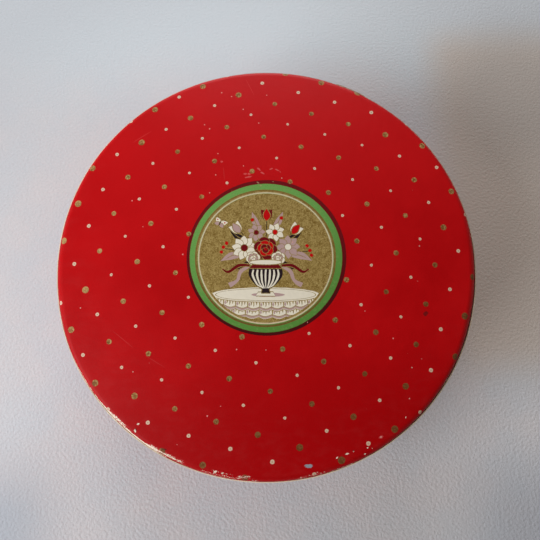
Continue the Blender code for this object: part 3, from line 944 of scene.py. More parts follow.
def motif_shapes():
    """A vase of flowers on a frilled cloth."""
    motif = Motif()
    paint_cloth(motif)
    stems = ((-8.2, 1.6), (-5.4, 5.6), (0.2, 8.6), (5.6, 5.4), (8.6, 1.0), (-2.6, 7.2), (3.0, 7.6))
    for x, y in stems:
        stem = ((0.25 * x, -1.2), (0.55 * x, 0.3 * y + 0.4), (x, y))
        motif.add(ink_black, brush(stem, (0.2, 0.18, 0.12)), gap=0.08)
    for ink, x, y, length, width, turn, bend in (
            (ink_mauve, -4.6, 0.2, 4.6, 1.5, 196.0, -0.5), (ink_mauve, 4.8, 0.2, 4.6, 1.5, -14.0, 0.5),
            (ink_black, -3.6, 3.2, 4.2, 1.3, 150.0, 0.3), (ink_black, 3.9, 3.2, 4.2, 1.3, 32.0, -0.3),
            (ink_mauve, -1.2, 5.4, 4.2, 1.3, 112.0, 0.2), (ink_mauve, 1.5, 5.6, 4.2, 1.3, 62.0, -0.2),
            (ink_black, -2.6, -0.9, 3.9, 1.3, 205.0, 0.3), (ink_black, 2.6, -0.9, 3.9, 1.3, -25.0, -0.3)):
        motif.add(ink, leaf(x, y, length, width, turn, bend))
        motif.cut(leaf(x, y, length * 0.86, 0.16, turn, bend))
    paint_tulip(motif, -5.2, 4.9, 2.6, 128.0, ink_cream, ink_mauve)
    paint_tulip(motif, 5.3, 4.7, 2.6, 50.0, ink_cream, print_red)
    paint_tulip(motif, 0.2, 7.4, 2.7, 90.0, ink_maroon, print_red)
    for x, y in ((-8.5, 1.9), (-8.9, 0.9), (-7.9, 2.7), (8.9, 1.2), (9.2, 0.2), (8.3, 2.1), (-2.7, 7.6),
                 (3.2, 8.0)):
        motif.add(print_red, oval(x, y, 0.36, 0.36, steps=10), gap=0.09)
    paint_daisy(motif, -4.3, 1.7, 2.5, 9, ink_cream, ink_maroon, 12.0)
    paint_daisy(motif, 4.5, 1.9, 2.4, 8, ink_mauve, ink_cream, 0.0)
    paint_daisy(motif, 1.9, 5.0, 1.9, 7, ink_cream, print_red, 20.0)
    paint_daisy(motif, -1.9, 4.9, 1.8, 7, ink_mauve, ink_maroon, 5.0)
    paint_rose(motif, 0.0, 1.6, 2.5, ink_maroon, print_red, 15.0)
    paint_rose(motif, -2.5, -0.4, 1.45, ink_cream, ink_mauve, 40.0)
    paint_rose(motif, 2.5, -0.4, 1.45, ink_cream, ink_mauve, 0.0)
    paint_urn(motif)
    paint_bow(motif)
    paint_butterfly(motif, -9.3, 6.9, 1.6, 62.0)
    centre = Vector(cream_line[0][:2])
    return [(ink, [point + centre for point in outline]) for ink, outline in motif.shapes]


def rounded_path(corners, radius, spacing):
    """Centreline through corners, rounded at inner ones, with points a spacing apart on its runs."""
    corners = [Vector(corner) for corner in corners]
    path = corners[:1]

    def run_to(end):
        start = path[-1]
        count = max(int((end - start).length / spacing), 1)
        path.extend(start.lerp(end, step / count) for step in range(1, count + 1))

    for before, corner, after in zip(corners, corners[1:], corners[2:]):
        back, onward = (before - corner).normalized(), (after - corner).normalized()
        half = 0.5 * math.acos(max(-1.0, min(1.0, back.dot(onward))))
        cut = radius / math.tan(half)
        centre = corner + (back + onward).normalized() * (radius / math.sin(half))
        start = corner + back * cut - centre
        turn = start.angle_signed(corner + onward * cut - centre)
        run_to(centre + start)
        for step in range(1, fold_steps + 1):
            path.append(centre + Matrix.Rotation(-turn * step / fold_steps, 2) @ start)
    run_to(corners[-1])
    return path


def make_strip(name, path, materials, body, node, start=0.0, overlap=0.0, thickness=thin_paper,
               fuzz=0.0, wear_at=None, spread=None):
    """A strip of paper bent into a hoop along a path of half section. Its printed side is to the path's
    left, and its end lies on its beginning."""
    shape = bmesh.new()
    sheet = shape.verts.layers.float_vector.new("sheet")
    worn = shape.verts.layers.float.new("wear")
    count = len(path)
    runs = [0.0]
    for first, second in pairwise(path):
        runs.append(runs[-1] + (second - first).length)
    sides = []
    for index in range(count):
        along = (path[min(index + 1, count - 1)] - path[max(index - 1, 0)]).normalized()
        sides.append(Vector((-along.y, along.x)))
    mean = sum(point.x for point in path) / count
    sweep = full_turn + overlap / mean
    steps = round_steps + int(overlap / mean / full_turn * round_steps) + 4

    rows = []
    for step in range(steps + 1):
        angle = start + sweep * step / steps
        lift = thickness * 1.1 * ramp(sweep * step / steps, full_turn - 0.06, full_turn - 0.01)
        row = []
        for side, order in ((1.0, range(count)), (0.0, range(count - 1, -1, -1))):
            for index in order:
                run = runs[index]
                cut = fuzz * waviness(angle * 3.0, index, 0.002, 3.0) if index == 0 else 0.0
                wave = band_ripple * waviness(angle, run, 0.006, 7.0)
                place = path[index] + sides[index] * (thickness * side + lift + wave)
                place = place + Vector((spread(angle, run) if spread else 0.0, cut))
                point = shape.verts.new(polar(place.x, angle, place.y))
                point[sheet] = (angle * mean / mm, -run / mm, 0.0)
                point[worn] = wear_at(angle, run) if wear_at and side else 0.0
                row.append(point)
        rows.append(row)

    for first, second in pairwise(rows):
        for index in range(2 * count):
            following = (index + 1) % (2 * count)
            face = shape.faces.new((first[index], second[index], second[following], first[following]))
            face.material_index = 0 if index < count - 1 else 1
    for row in (rows[0], rows[-1]):
        for index in range(count - 1):
            shape.faces.new((row[index], row[index + 1], row[2 * count - 2 - index],
                             row[2 * count - 1 - index])).material_index = 1
    new_piece(name, all_facing_out(shape), materials, body, node)


def plain_paper(name, tint, stain, dust=None, painted_shade=None):
    """Smooth, slightly yellowed paper, with powder on it or painted shade on its side away from the
    window.
    """
    look = Look(name, specular=0.2)
    place = look.place()
    fibres = look.noise(look.stretched(place, (1.0, 1.0, 0.35)), 2.5, 5.0, 0.65)
    cloud = look.noise(place, 0.06, 4.0, 0.6)
    made = look.over(tint, stain, look.step(cloud, 0.35, 0.75), 0.7)
    made = look.over(made, stain, look.step(fibres, 0.5, 0.8), 0.35)
    spot = look.step(look.cells(place, 0.16)[0], 0.16, 0.02)
    made = look.over(made, colour(176, 138, 92), spot, look.step(cloud, 0.5, 0.8))
    if dust:
        made = look.over(made, dust, look.step(look.noise(place, 0.35, 6.0, 0.7), 0.45, 0.75), 0.7)
    # Painted shade on the side away from the window
    if painted_shade:
        side = look.dot(place, (0.8 / 43.0, 0.6 / 43.0, 0.0))
        made = look.over(made, painted_shade, look.step(side, -0.4, 0.6), 0.5)
    return look.finish(made, look.span(fibres, 0.55, 0.75), fibres, 0.03)


def board(name, tint, shade, fleck):
    """Pasteboard: matted fibres with dark flecks and layers."""
    look = Look(name, specular=0.12)
    place = look.place()
    fibres = look.noise(place, 3.0, 6.0, 0.7, 0.6)
    layers = look.noise(look.stretched(place, (0.25, 0.25, 4.0)), 1.0, 4.0, 0.6)
    made = look.mix(tint, shade, look.step(fibres, 0.35, 0.7))
    made = look.over(made, shade, look.step(layers, 0.5, 0.75), 0.5)
    distance, _, luck = look.cells(look.stretched(place, (1.0, 0.4, 1.0)), 1.3)
    dark = look.times(look.step(luck, 0.8, 0.9), look.step(distance, 0.3, 0.12))
    made = look.over(made, fleck, dark, 0.7)
    return look.finish(made, look.span(fibres, 0.8, 0.95), look.plus(fibres, layers), 0.06)


def grainy(name, inks, cloud, grain, share, roughness=(0.9, 1.0), depth=0.08, specular=0.05,
           sheen=(0.0, 0.5)):
    """Two inks in clouds, with grains of a third on them. Clouds and grains are each given as a noise's
    scale, detail and roughness, and where its step starts and ends."""
    look = Look(name, specular, sheen)
    place = look.place()
    grains = look.noise(place, *grain[:3])
    made = look.mix(inks[0], inks[1], look.step(look.noise(place, *cloud[:3]), *cloud[3:]))
    made = look.over(made, inks[2], look.step(grains, *grain[3:]), share)
    return look.finish(made, look.span(grains, *roughness), grains, depth)


def satin(name, tint, shade):
    """Satin: fine threads, with a sheen at its folds."""
    look = Look(name, 0.45, (0.25, 0.35))
    place = look.place()
    threads = look.node("TexWave", {"Vector": place, "Scale": 6.0, "Distortion": 1.5, "Detail": 2.0},
                        bands_direction="Y").outputs["Fac"]
    made = look.mix(tint, shade, look.step(look.noise(place, 0.25, 4.0, 0.6), 0.3, 0.75))
    made = look.over(made, shade, threads, 0.25)
    return look.finish(made, look.span(threads, 0.3, 0.42), threads, 0.02)


def wadding():
    look = Look("wadding", specular=0.05)
    tufts = look.noise(look.place(), 1.2, 6.0, 0.75)
    made = look.mix(colour(240, 236, 226), colour(222, 214, 198), look.step(tufts, 0.35, 0.7))
    return look.finish(made, look.span(tufts, 0.9, 1.0), tufts, 0.4)


def make_lid_papers(print_material, back, lining):
    """Side band and lining strip of the lid."""
    top = high("lid_side_band").z
    fold_inner = high("lid_lining_strip").x - 0.1 * mm
    fold_top = low("lid_lining_strip").z - glue_gap
    turned_in = lid_rim + band_paper
    corners = [(band_reach, top), (band_reach, turned_in),
               (fold_inner, turned_in), (fold_inner, fold_top)]
    height = top - lid_rim

    def rub(angle, run):
        at_rim = ramp(abs(run - height), 1.0 * mm, 0.1 * mm)
        at_top = ramp(run, 0.5 * mm, 0.0)
        luck = 0.5 + 0.5 * waviness(angle, run * 0.2, 0.012, 11.0)
        return at_rim * (0.25 + 0.75 * luck) + at_top * (0.3 + 0.6 * luck)

    def spread(angle, run):
        *_, edge_height, rounding = edge_runs(angle)
        above = max(top - run - edge_height, 0.0)
        tucked = rounding - math.sqrt(max(rounding ** 2 - above ** 2, 0.0))
        loose = max(math.cos(angle - loose_side), 0.0) ** 8
        return out_of_round(angle) * ramp(height - run, 0.5 * mm, 3.0 * mm) - tucked * (1.0 - loose)

    make_strip("lid_side_strip", rounded_path(corners, fold_radius, 0.9 * mm), (print_material, back),
               "lid", "lid_side_band", start=math.radians(62.0), overlap=5.0 * mm,
               thickness=band_paper, fuzz=0.05 * mm, wear_at=rub, spread=spread)
    corners = [(fold_inner, low("lid_lining_strip").z), (fold_inner, high("lid_lining_strip").z)]
    make_strip("lid_lining_hoop", rounded_path(corners, fold_radius, 1.5 * mm), (lining, lining), "lid",
               "lid_lining_strip", start=math.radians(40.0), overlap=4.0 * mm)


def make_lining_disc(lining):
    """Paper inside the lid's top, pressed on unevenly, with a snipped edge."""
    shape = bmesh.new()
    depth = dome_radius + crown_centre - high("lid_lining_disc").z
    radius = high("lid_lining_disc").x - 0.2 * mm
    rings = 26

    def new_ring(share, under):
        row = []
        for angle in angles(180):
            reach = radius * share * (1.0 - 0.004 * abs(waviness(angle, 0.0, 0.004)))
            bulge = 0.05 * mm * (1.0 + waviness(angle * share, reach, 0.009, 5.0))
            r, z = dome_point(reach, depth + bulge + under)
            row.append(shape.verts.new(polar(r, angle, z)))
        return row

    rims = []
    for under in (0.0, paper):
        rows = [new_ring((ring + 1) / rings, under) for ring in range(rings)]
        for first, second in pairwise(rows):
            bridge(shape, first, second)
        fan(shape, rows[0], shape.verts.new((0.0, 0.0, dome_point(0.0, depth + 0.05 * mm + under)[1])))
        rims.append(rows[-1])
    bridge(shape, rims[1], rims[0])
    new_piece("lid_lining_paper", all_facing_out(shape), (lining,), "lid",
              "lid_lining_disc")


def make_base_papers(print_material, back, label, lining):
    """Side band, label under the floor and neck paper."""
    under = low("base_side_band").z
    outer = base_radius - band_paper - band_ripple
    wall_inner = neck_outer + glue_gap
    corners = [(wall_inner, base_rim - band_paper), (outer, base_rim - band_paper),
               (outer, under + band_paper), (base_radius - 6.0 * mm, under + band_paper)]
    rim_run = outer - wall_inner
    foot_run = rim_run + base_rim - under

    def rub(angle, run):
        at_rim = ramp(abs(run - rim_run), 0.9 * mm, 0.1 * mm)
        at_foot = ramp(abs(run - foot_run), 1.4 * mm, 0.1 * mm)
        luck = 0.5 + 0.5 * waviness(angle, run * 0.2, 0.012, 23.0)
        return at_rim * (0.1 + 0.6 * luck) + at_foot * (0.35 + 0.8 * luck)

    make_strip("base_side_strip", rounded_path(corners, fold_radius, 0.9 * mm), (print_material, back),
               "base", "base_side_band", start=math.radians(152.0), overlap=5.0 * mm,
               thickness=band_paper, wear_at=rub)
    corners = [(well_radius + paper, low("neck_paper").z), (well_radius + paper, neck_top - paper),
               (neck_outer - paper, neck_top - paper), (neck_outer - paper, base_rim - 4.0 * mm)]
    make_strip("neck_wrap", rounded_path(corners, 0.4 * mm, 1.2 * mm), (lining, lining), "base",
               "neck_paper", start=math.radians(75.0), overlap=4.0 * mm)

    shape = bmesh.new()
    radius = high("base_bottom_label").x

    def new_ring(share, height):
        row = []
        for angle in angles(240):
            reach = radius * share * (0.996 + 0.004 * waviness(angle, 0.0, 0.006, 2.0))
            row.append(shape.verts.new(polar(reach, angle, height)))
        return row

    rows = [new_ring(share, 0.0) for share in (0.5, 0.9, 1.0)]
    rows += [new_ring(share, label_thickness) for share in (1.0, 0.5)]
    for first, second in pairwise(rows):
        bridge(shape, first, second)
    fan(shape, rows[0], shape.verts.new((0.0, 0.0, 0.0)))
    fan(shape, rows[-1], shape.verts.new((0.0, 0.0, label_thickness)))
    new_piece("bottom_label_paper", all_facing_out(shape), (label,), "base",
              "base_bottom_label")


# Powder and its seal
powder_spacing = 0.9 * mm
powder_drift = 0.6 * mm
seal_spacing = 0.75 * mm
seal_puckers = 38.0

# Puff: sizes of its parts
seam_radius = high("puff_back").x - 1.2 * mm
seam_lip = 0.3 * mm
seam_top = low("puff_back").z + 0.3 * mm
seam_under = high("puff_face").z - 0.3 * mm
satin_thickness = 0.2 * mm
satin_spacing = 0.8 * mm
satin_swell = 0.9 * mm
satin_sink = 0.25 * mm
gathers = 52
gather_depth = 0.17 * mm
plush_thickness = 0.4 * mm
plush_spacing = 0.62 * mm
plush_round = 6.8 * mm
tuft_depth = 0.16 * mm
wadding_spacing = 1.3 * mm
cord_strands = 3
cord_strand_radius = 0.43 * mm
cord_lay = 3.9 * mm
ribbon_thickness = 0.14 * mm
ribbon_slack = 0.3 * mm


def even_disc(radius, spacing, rings=()):
    """Places spread evenly over a disc and on some rings of it, the triangles between them, and the
    order of the places on the rim."""
    places, edges = [], []
    count = int(full_turn * radius / spacing)
    for ring in (radius,) + rings:
        start = len(places)
        places.extend(polar(1.0, angle).xy * (ring / mm) for angle in angles(count))
        edges.extend((start + step, start + (step + 1) % count) for step in range(count))
    step_across, step_along = spacing / mm, 0.866 * spacing / mm
    free = min((radius,) + rings) / mm - 0.6 * step_across
    rows = int(radius / mm / step_along) + 1
    for row in range(-rows, rows + 1):
        for column in range(-rows, rows + 1):
            place = Vector((step_across * (column + 0.5 * (row % 2)), step_along * row))
            if place.length < free:
                places.append(place)
    flat, _, triangles, sources, _, _ = geometry.delaunay_2d_cdt(places, edges, [], 0, 1e-5, True)
    rim = [0] * count
    for index, origins in enumerate(sources):
        for origin in origins:
            if origin < count:
                rim[origin] = index
    return [place * mm for place in flat], [tuple(face) for face in triangles], rim


def facing(points, triangles):
    """Direction that the surface faces at each point."""
    places, corners = np.array(points), np.array(triangles)
    first, second, third = (places[corners[:, side]] for side in range(3))
    across = np.cross(second - first, third - first)
    made = np.zeros_like(places)
    for side in range(3):
        np.add.at(made, corners[:, side], across)
    return made / np.linalg.norm(made, axis=1)[:, None]


def on_profile(profile, spacing):
    """An even disc moved to a turned form, whose half section is given as radii and heights and ends in
    a lip outside its seam: the flat and the moved places, their sides, the triangles, the rim and the
    run to the seam."""
    runs = [0.0]
    for first, second in pairwise(profile):
        runs.append(runs[-1] + math.dist(first, second))
    flat, triangles, rim = even_disc(runs[-1], spacing, (runs[-2],))
    radii, heights = zip(*profile)
    made = []
    for place in flat:
        run = place.length
        radius, height = (float(np.interp(run, runs, values)) for values in (radii, heights))
        across = place / run if run > 0.0 else Vector((1.0, 0.0))
        made.append(Vector((radius * across.x, radius * across.y, height)))
    return flat, made, facing(made, triangles), triangles, rim, runs[-2]


def slab(name, upper, lower, triangles, rim, material, body, node):
    """A piece between two layers of points, joined along their rim."""
    shape = bmesh.new()
    top = [shape.verts.new(point) for point in upper]
    bottom = [shape.verts.new(point) for point in lower]
    for a, b, c in triangles:
        shape.faces.new((top[a], top[b], top[c]))
        shape.faces.new((bottom[c], bottom[b], bottom[a]))
    bridge(shape, [top[index] for index in rim], [bottom[index] for index in rim])
    return new_piece(name, all_facing_out(shape), (material,), body, node)


def simulate_satin(points, triangles, rim):
    """Blow the satin up over the wadding. It is cut a little too large, so that it gathers at the seam.
    The cloth is worked ten times as large as it is, where the simulation is steady."""
    enlarge, last_frame = 10.0, 20
    mesh = bpy.data.meshes.new("satin_in_the_making")
    mesh.from_pydata([tuple(point * enlarge) for point in points], [], triangles)
    piece = bpy.data.objects.new("satin_in_the_making", mesh)
    scene = bpy.context.scene
    scene.collection.objects.link(piece)
    piece.vertex_groups.new(name="seam").add(rim, 1.0, "REPLACE")
    cloth = piece.modifiers.new("Cloth", "CLOTH")
    for key, value in dict(quality=8, mass=0.3, tension_stiffness=15.0, compression_stiffness=15.0,
                           shear_stiffness=5.0, bending_stiffness=0.05, vertex_group_mass="seam",
                           shrink_min=-0.05, use_pressure=True, uniform_pressure_force=4.0).items():
        setattr(cloth.settings, key, value)
    cloth.settings.effector_weights.gravity = 0.0
    cloth.collision_settings.use_collision = False
    cloth.point_cache.frame_start = 1
    cloth.point_cache.frame_end = last_frame
    for frame_number in range(1, last_frame + 1):
        scene.frame_set(frame_number)
    blown = piece.evaluated_get(bpy.context.evaluated_depsgraph_get())
    made = [vertex.co / enlarge for vertex in blown.data.vertices]
    bpy.data.objects.remove(piece)
    scene.frame_set(1)
    return made


def make_puff_back(material):
    """Satin back, gathered into the seam. Returns a function for its height at a place."""
    rise = high("puff_back").z - seam_top
    profile = [(seam_radius * math.sin(angle), seam_top + (rise - satin_swell) * math.cos(angle))
               for angle in (0.5 * math.pi * step / 40 for step in range(41))]
    profile.append((seam_radius + seam_lip, seam_top))
    _, smooth, sides, triangles, rim, _ = on_profile(profile, satin_spacing)
    start = []
    for point, side in zip(smooth, sides):
        share = min(point.xy.length / seam_radius, 1.0)
        angle = math.atan2(point.y, point.x)
        pleat = math.cos(gathers * angle + 3.0 * waviness(angle, 0.0, 0.014, 31.0))
        depth = gather_depth * (pleat + 0.5 * rough(point, 2.5 * mm, 3.0))
        depth = depth * ramp(share, 0.35, 0.9) * ramp(1.0 - share, 0.0, 0.02)
        start.append(point + Vector(side) * depth)
    moved = simulate_satin(start, triangles, rim)

    tops, cells = [], {}
    for smooth_point, point in zip(smooth, moved):
        shift = point - smooth_point
        if shift.length > satin_swell:
            shift = shift * (satin_swell / shift.length)
        shift.z = max(shift.z, -satin_sink)
        top = smooth_point + shift
        tops.append(top)
        cells.setdefault((round(top.x / mm), round(top.y / mm)), []).append(top.z)
    inner = [top - Vector(side) * satin_thickness for top, side in zip(tops, facing(tops, triangles))]
    piece = slab("puff_satin", tops, inner, triangles, rim, material, "puff", "puff_back")

    def surface(x, y):
        near = [height for across in (-1, 0, 1) for along in (-1, 0, 1)
                for height in cells.get((round(x / mm) + across, round(y / mm) + along), ())]
        return max(near, default=seam_top)

    return surface


def make_puff_face(material):
    """Plush powdering side with a deep pile."""
    under = low("puff_face").z + 0.1 * mm
    flat_radius = seam_radius - plush_round
    profile = [(0.0, under), (flat_radius, under)]
    for step in range(1, 25):
        angle = 0.5 * math.pi * step / 24
        profile.append((flat_radius + plush_round * math.sin(angle),
                        seam_under - (seam_under - under) * math.cos(angle)))
    profile.append((seam_radius + seam_lip, seam_under))
    flat, smooth, sides, triangles, rim, seam_run = on_profile(profile, plush_spacing)
    outer, inner = [], []
    for place, point, side in zip(flat, smooth, sides):
        tuft = rough(place, 1.5 * mm, 41.0) + 0.6 * rough(place, 0.8 * mm, 43.0)
        tuft += 0.9 * rough(place, 7.0 * mm, 47.0)
        settled = ramp(seam_run - place.length, 0.0, 2.5 * mm)
        outer.append(point + Vector(side) * (-tuft_depth * tuft * settled))
        inner.append(point + Vector(side) * plush_thickness)
    piece = slab("puff_plush", inner, outer, triangles, rim, material, "puff", "puff_face")


def make_layers(name, radius, spacing, heights, material, body, node):
    """A piece on an even disc, whose upper and lower height at each place come from a function."""
    flat, triangles, rim = even_disc(radius, spacing)
    upper, lower = [], []
    for place in flat:
        above, below = heights(place)
        upper.append((place.x, place.y, above))
        lower.append((place.x, place.y, below))
    return slab(name, upper, lower, triangles, rim, material, body, node)


def make_wadding(material):
    """Lumpy wadding between the plush and the satin."""
    radius = high("puff_wadding").x
    bottom, top = low("puff_wadding").z, high("puff_wadding").z
    middle = 0.5 * (seam_top + seam_under)

    def heights(place):
        share = min(place.length / radius, 1.0)
        loose = 0.35 * mm * abs(rough(place, 4.0 * mm, 53.0))
        loose += 0.15 * mm * abs(rough(place, 1.5 * mm, 57.0))
        loose = (loose + satin_swell) * ramp(1.0 - share, 0.0, 0.1)
        rise = math.sqrt(max(1.0 - share * share, 0.0))
        drop = max(1.0 - share ** 5, 0.0) ** 0.4
        return (middle + (top - middle) * rise - loose + 0.01 * mm,
                middle - (middle - bottom) * drop + 0.5 * loose - 0.01 * mm)

    piece = make_layers("puff_filling", radius, wadding_spacing, heights, material, "puff",
                        "puff_wadding")


def make_puff_cord(material):
    """Twisted cord sewn round the seam."""
    height = 0.5 * (low("puff_binding").z + high("puff_binding").z)
    offset = 1.04 * cord_strand_radius
    ring = high("puff_binding").x - offset - cord_strand_radius + 0.2 * mm
    turns = round(full_turn * ring / cord_lay)
    steps, sides = turns * 12, 10
    shape = bmesh.new()
    for strand in range(cord_strands):
        centres = []
        for angle in angles(steps):
            twist = turns * angle + full_turn * strand / cord_strands
            centres.append(polar(ring + offset * math.cos(twist), angle,
                                 height + offset * math.sin(twist)))
        rows = []
        for step, centre in enumerate(centres):
            along = (centres[(step + 1) % steps] - centres[step - 1]).normalized()
            above = along.cross(Vector((centre.x, centre.y, 0.0)).normalized()).normalized()
            outward = above.cross(along)
            rows.append([shape.verts.new(centre + cord_strand_radius * (
                math.cos(phase) * outward + math.sin(phase) * above)) for phase in angles(sides)])
        for first, second in zip(rows, rows[1:] + rows[:1]):
            bridge(shape, first, second)
    new_piece("puff_cord", all_facing_out(shape), (material,), "puff", "puff_binding")


def make_puff_ribbon(material, surface):
    """Ribbon laid across the back, with its ends under the cord."""
    half_width = high("puff_ribbon").y
    along_steps, across_steps = 120, 20
    ceiling = high("puff_ribbon").z
    sides = [2.0 * across / across_steps - 1.0 for across in range(across_steps + 1)]
    upper = []
    for along in range(along_steps + 1):
        share = 2.0 * along / along_steps - 1.0
        x = seam_radius * math.sin(0.5 * math.pi * share)
        supports = [surface(x, half_width * side) for side in sides]
        highest = max(supports)
        ends = ramp(abs(share), 0.9, 1.0)
        for side, support in zip(sides, supports):
            y = half_width * side
            held = support + 0.75 * (highest - support)
            ripple = 0.06 * mm * noise.noise(Vector((x / (7.0 * mm), y / (2.5 * mm), 3.0)))
            loose = ribbon_slack * (1.0 - share * share) * (0.7 + 0.3 * side * side)
            z = held + 0.1 * mm + loose + ripple
            z = z * (1.0 - ends) + (seam_top + 0.12 * mm) * ends
            upper.append(Vector((x, y, min(z, ceiling))))
    lower = [point - Vector((0.0, 0.0, ribbon_thickness)) for point in upper]
    width = across_steps + 1
    last = along_steps * width
    triangles = []
    length = 0.0
    for along in range(along_steps):
        for across in range(across_steps):
            corner = along * width + across
            triangles.append((corner, corner + width, corner + width + 1))
            triangles.append((corner, corner + width + 1, corner + 1))
        middle = along * width + across_steps // 2
        length += (upper[middle + width] - upper[middle]).length
    rim = [*range(0, last, width), *range(last, last + width - 1),
           *range(last + width - 1, width - 1, -width), *range(width - 1, 0, -1)]
    piece = slab("puff_band", upper, lower, triangles, rim, material, "puff",
                 "puff_ribbon")


def make_powder(material):
    """Settled powder with a slightly drifted surface."""
    top, bottom = high("powder_fill").z, low("powder_fill").z
    radius = high("powder_fill").x - 0.05 * mm

    def heights(place):
        drift = 0.5 + 0.5 * rough(place, 11.0 * mm, 61.0) + 0.25 * rough(place, 2.2 * mm, 67.0)
        return top - powder_drift * drift * ramp(radius - place.length, 0.0, 1.5 * mm), bottom

    make_layers("settled_powder", radius, powder_spacing, heights, material, "base",
                "powder_fill")


def make_seal_film(material):
    """Glazed paper pasted over the powder, sagging a little and puckered round its edge."""
    top, radius = high("seal_membrane").z, high("seal_membrane").x

    def heights(place):
        share = place.length / radius
        angle = math.atan2(place.y, place.x)
        pucker = math.cos(seal_puckers * angle + 4.0 * waviness(angle, 0.0, 0.02, 71.0))
        crease = 0.09 * pucker * ramp(share, 0.5, 0.93) * ramp(1.0 - share, 0.0, 0.04)
        dent = 0.12 * rough(place, 9.0 * mm, 73.0) * ramp(1.0 - share, 0.0, 0.3)
        sag = 0.3 * (1.0 - share * share)
        height = min(top + (crease + dent - sag - 0.1 * ramp(1.0 - share, 0.0, 0.05)) * mm, top)
        return height, height - thin_paper

    make_layers("seal_film", radius, seal_spacing, heights, material, "base",
                "seal_membrane")


def table_look():
    """Pale rough table, a little uneven in tint, with painted light towards the top, painted shade far out
    and in the lower corners, and painted shadows to the right and upper right of the box, that fades into
    the backdrop far away.
    """
    look = Look("table_surface", specular=0.15)
    place = look.place()
    peel = look.noise(place, 1.35, 2.0, 0.5)
    grain = look.noise(place, 1.7, 4.0, 0.6)
    from_middle = look.length(place)
    spot = look.node("SeparateXYZ", {0: place}).outputs
    # Masks for painted shade in the lower corners and painted shadows to the right and upper right of the
    # box
    corner = look.times(look.step(look.math("ABSOLUTE", spot["X"]), 42.0, 66.0),
                        look.step(spot["Y"], -34.0, -60.0))
    beside = look.step(look.math("ABSOLUTE", look.minus(spot["Y"], 28.0)), 42.0, 58.0)
    right = look.without(look.step(spot["X"], 42.0, 58.0), beside)
    upper_right_shadow = look.step(look.apart(place, (74.0, 58.0, 0.0)), 34.0, 8.0)
    tint = look.mix(colour(196, 198, 203), colour(204, 200, 202),
                    look.step(look.noise(place, 0.05, 3.0), 0.3, 0.7))
    # Over the grain: painted light towards the top, painted shade far out and in the lower corners, a warm
    # painted shadow to the right and a darker one to the upper right
    for shade, mask, share in ((colour(180, 180, 184), look.step(grain, 0.4, 0.7), 0.3),
                               (colour(199, 208, 214), look.step(spot["Y"], 44.0, 80.0), 0.85),
                               (colour(178, 178, 183), look.step(from_middle, 74.0, 116.0), 0.5),
                               (colour(154, 160, 170), corner, 0.6),
                               (colour(198, 186, 176), right, 0.85),
                               (colour(140, 136, 134), upper_right_shadow, 0.4)):
        tint = look.over(tint, shade, mask, share)
    rough_side = look.span(look.step(spot["Y"], 8.0, -42.0), 0.62, 1.0)
    look.finish(tint, 0.75, look.times(look.plus(peel, look.times(grain, 0.25)), rough_side), 0.18)
    rays = look.node("LightPath").outputs
    seen = look.either(rays["Is Camera Ray"], rays["Is Glossy Ray"])
    far = look.times(look.step(from_middle, 125.0, 330.0), seen)
    pale = look.node("Emission", {"Color": backdrop_pale, "Strength": 1.0})
    blend = look.node("MixShader", {0: far, 1: look.surface.outputs[0], 2: pale.outputs[0]})
    look.feed(look.tree.nodes["Material Output"].inputs["Surface"], blend.outputs[0])
    return look.material


# Light: an even fill, a low window on the left and a weaker one behind the box, each with its azimuth,
# elevation, power and tint
fill_level = 0.145
fill_tint = (1.0, 0.78, 0.56, 1.0)
lamp_size = 0.25
lamp_distance = 0.36
soft_lamps = (
    ("window", 209.5, 30.0, 1.46, (0.96, 1.0, 1.03)),
    ("far_window", 92.0, 18.0, 1.12, (0.97, 1.0, 1.03)),
)


def make_stage():
    """Pale table, soft light from two windows and an even fill."""
    scene = bpy.context.scene
    mesh = bpy.data.meshes.new("table")
    shape = bmesh.new()
    bmesh.ops.create_circle(shape, cap_ends=True, segments=96, radius=3.0)
    shape.to_mesh(mesh)
    shape.free()
    mesh.materials.append(table_look())
    table = bpy.data.objects.new("table", mesh)
    table.location.z = -0.02 * mm
    scene.collection.objects.link(table)

    scene.world = bpy.data.worlds.new("studio")
    scene.world.use_nodes = True
    studio = Nodes(scene.world.node_tree)
    fill = studio.tree.nodes["Background"]
    studio.feed(fill.inputs["Color"], fill_tint)
    studio.feed(fill.inputs["Strength"], fill_level)
    backdrop = studio.node("Background", {"Color": backdrop_pale})
    rays = studio.node("LightPath").outputs
    shown = reduce(studio.either, (rays["Is Camera Ray"], rays["Is Glossy Ray"],
                                   rays["Is Transmission Ray"]))
    blend = studio.node("MixShader", {0: shown, 1: fill.outputs[0], 2: backdrop.outputs[0]})
    studio.feed(studio.tree.nodes["World Output"].inputs["Surface"], blend.outputs[0])

    for name, azimuth, elevation, power, tint in soft_lamps:
        lamp = bpy.data.lights.new(name, "AREA")
        lamp.shape = "SQUARE"
        lamp.size = lamp_size
        lamp.energy = power
        lamp.color = tint
        box = bpy.data.objects.new(name, lamp)
        scene.collection.objects.link(box)
        up = math.radians(elevation)
        towards = polar(math.cos(up), math.radians(azimuth), math.sin(up))
        box.location = Vector((0.0, 0.0, shoulder)) + lamp_distance * towards
        box.rotation_euler = (-towards).to_track_quat("-Z", "Y").to_euler()


# Camera, fitted to the dots and the outline in the photograph
camera_lens = 32.0
camera_place = Vector((0.871 * mm, -21.471 * mm, apex + 93.586 * mm))
camera_aim = Vector((0.772 * mm, -2.600 * mm, apex))


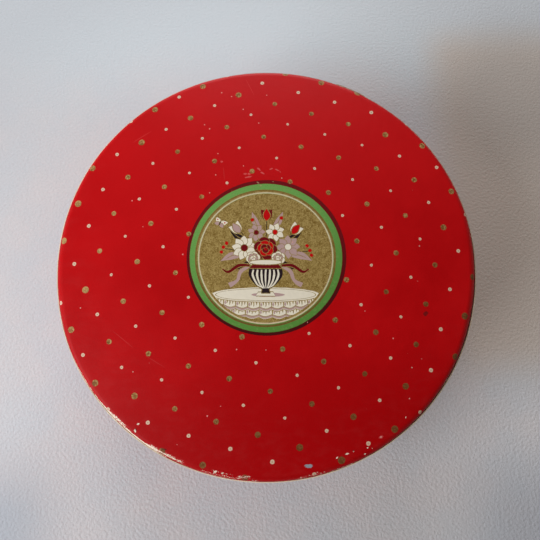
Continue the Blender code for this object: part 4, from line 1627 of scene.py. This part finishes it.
def make_camera():
    data = bpy.data.cameras.new("camera")
    data.lens = camera_lens
    data.sensor_width = 36.0
    data.clip_start = 1.0 * mm
    camera = bpy.data.objects.new("camera", data)
    bpy.context.scene.collection.objects.link(camera)
    forward = (camera_aim - camera_place).normalized()
    right = forward.cross(Vector((0.0, 1.0, 0.0))).normalized()
    turn = Matrix((right, right.cross(forward), -forward)).transposed()
    camera.matrix_world = Matrix.Translation(camera_place) @ turn.to_4x4()
    bpy.context.scene.camera = camera


def main():
    bpy.context.scene.view_settings.view_transform = "Standard"
    make_camera()
    make_stage()

    red_top = printed_paper("printed_top", True)
    red_side = printed_paper("printed_side", False)
    back = plain_paper("paper_back", colour(238, 226, 202), colour(196, 180, 150),
                       painted_shade=colour(122, 98, 70))
    lining = plain_paper("lining_paper", colour(210, 202, 182), colour(192, 178, 148),
                         dust=colour(212, 182, 158))
    label = plain_paper("label_paper", colour(220, 210, 186), colour(196, 178, 142))
    grey = board("grey_board", colour(176, 162, 138), colour(146, 130, 106), colour(84, 74, 62))
    white = board("white_board", colour(216, 210, 196), colour(196, 188, 170), colour(150, 138, 118))
    for name, material in dict(
            lid_top_board=grey, lid_side_wall=grey, base_floor_board=grey, base_side_wall=grey,
            neck_collar=grey, seal_hoop=white, base_lining_disc=lining).items():
        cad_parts[name].material_slots[0].material = material

    make_top_sheet(red_top, back)
    make_lid_papers(red_side, back, lining)
    make_lining_disc(lining)
    make_base_papers(red_side, back, label, lining)
    make_powder(grainy(
        "loose_powder", (colour(232, 196, 170), colour(214, 170, 142), colour(240, 212, 190)),
        (0.2, 5.0, 0.6, 0.3, 0.7), (9.0, 4.0, 0.7, 0.5, 0.7), 0.5))
    # The seal's glazed paper shows the powder a little
    make_seal_film(grainy(
        "glassine", (colour(224, 206, 178), colour(206, 172, 142), colour(236, 224, 202)),
        (0.12, 3.0, 0.6, 0.3, 0.7), (1.6, 5.0, 0.7, 0.5, 0.75), 0.5, roughness=(0.22, 0.4), depth=0.03,
        specular=0.45))
    surface = make_puff_back(satin("puff_satin", colour(226, 172, 164), colour(200, 138, 132)))
    make_puff_face(grainy(
        "plush", (colour(242, 220, 208), colour(222, 184, 168), colour(206, 160, 142)),
        (0.3, 4.0, 0.6, 0.3, 0.75), (3.2, 5.0, 0.7, 0.4, 0.6), 0.4, depth=0.3, sheen=(0.5, 0.5)))
    make_wadding(wadding())
    rose = satin("ribbon_satin", colour(206, 92, 98), colour(172, 62, 70))
    make_puff_cord(rose)
    make_puff_ribbon(rose, surface)


main()
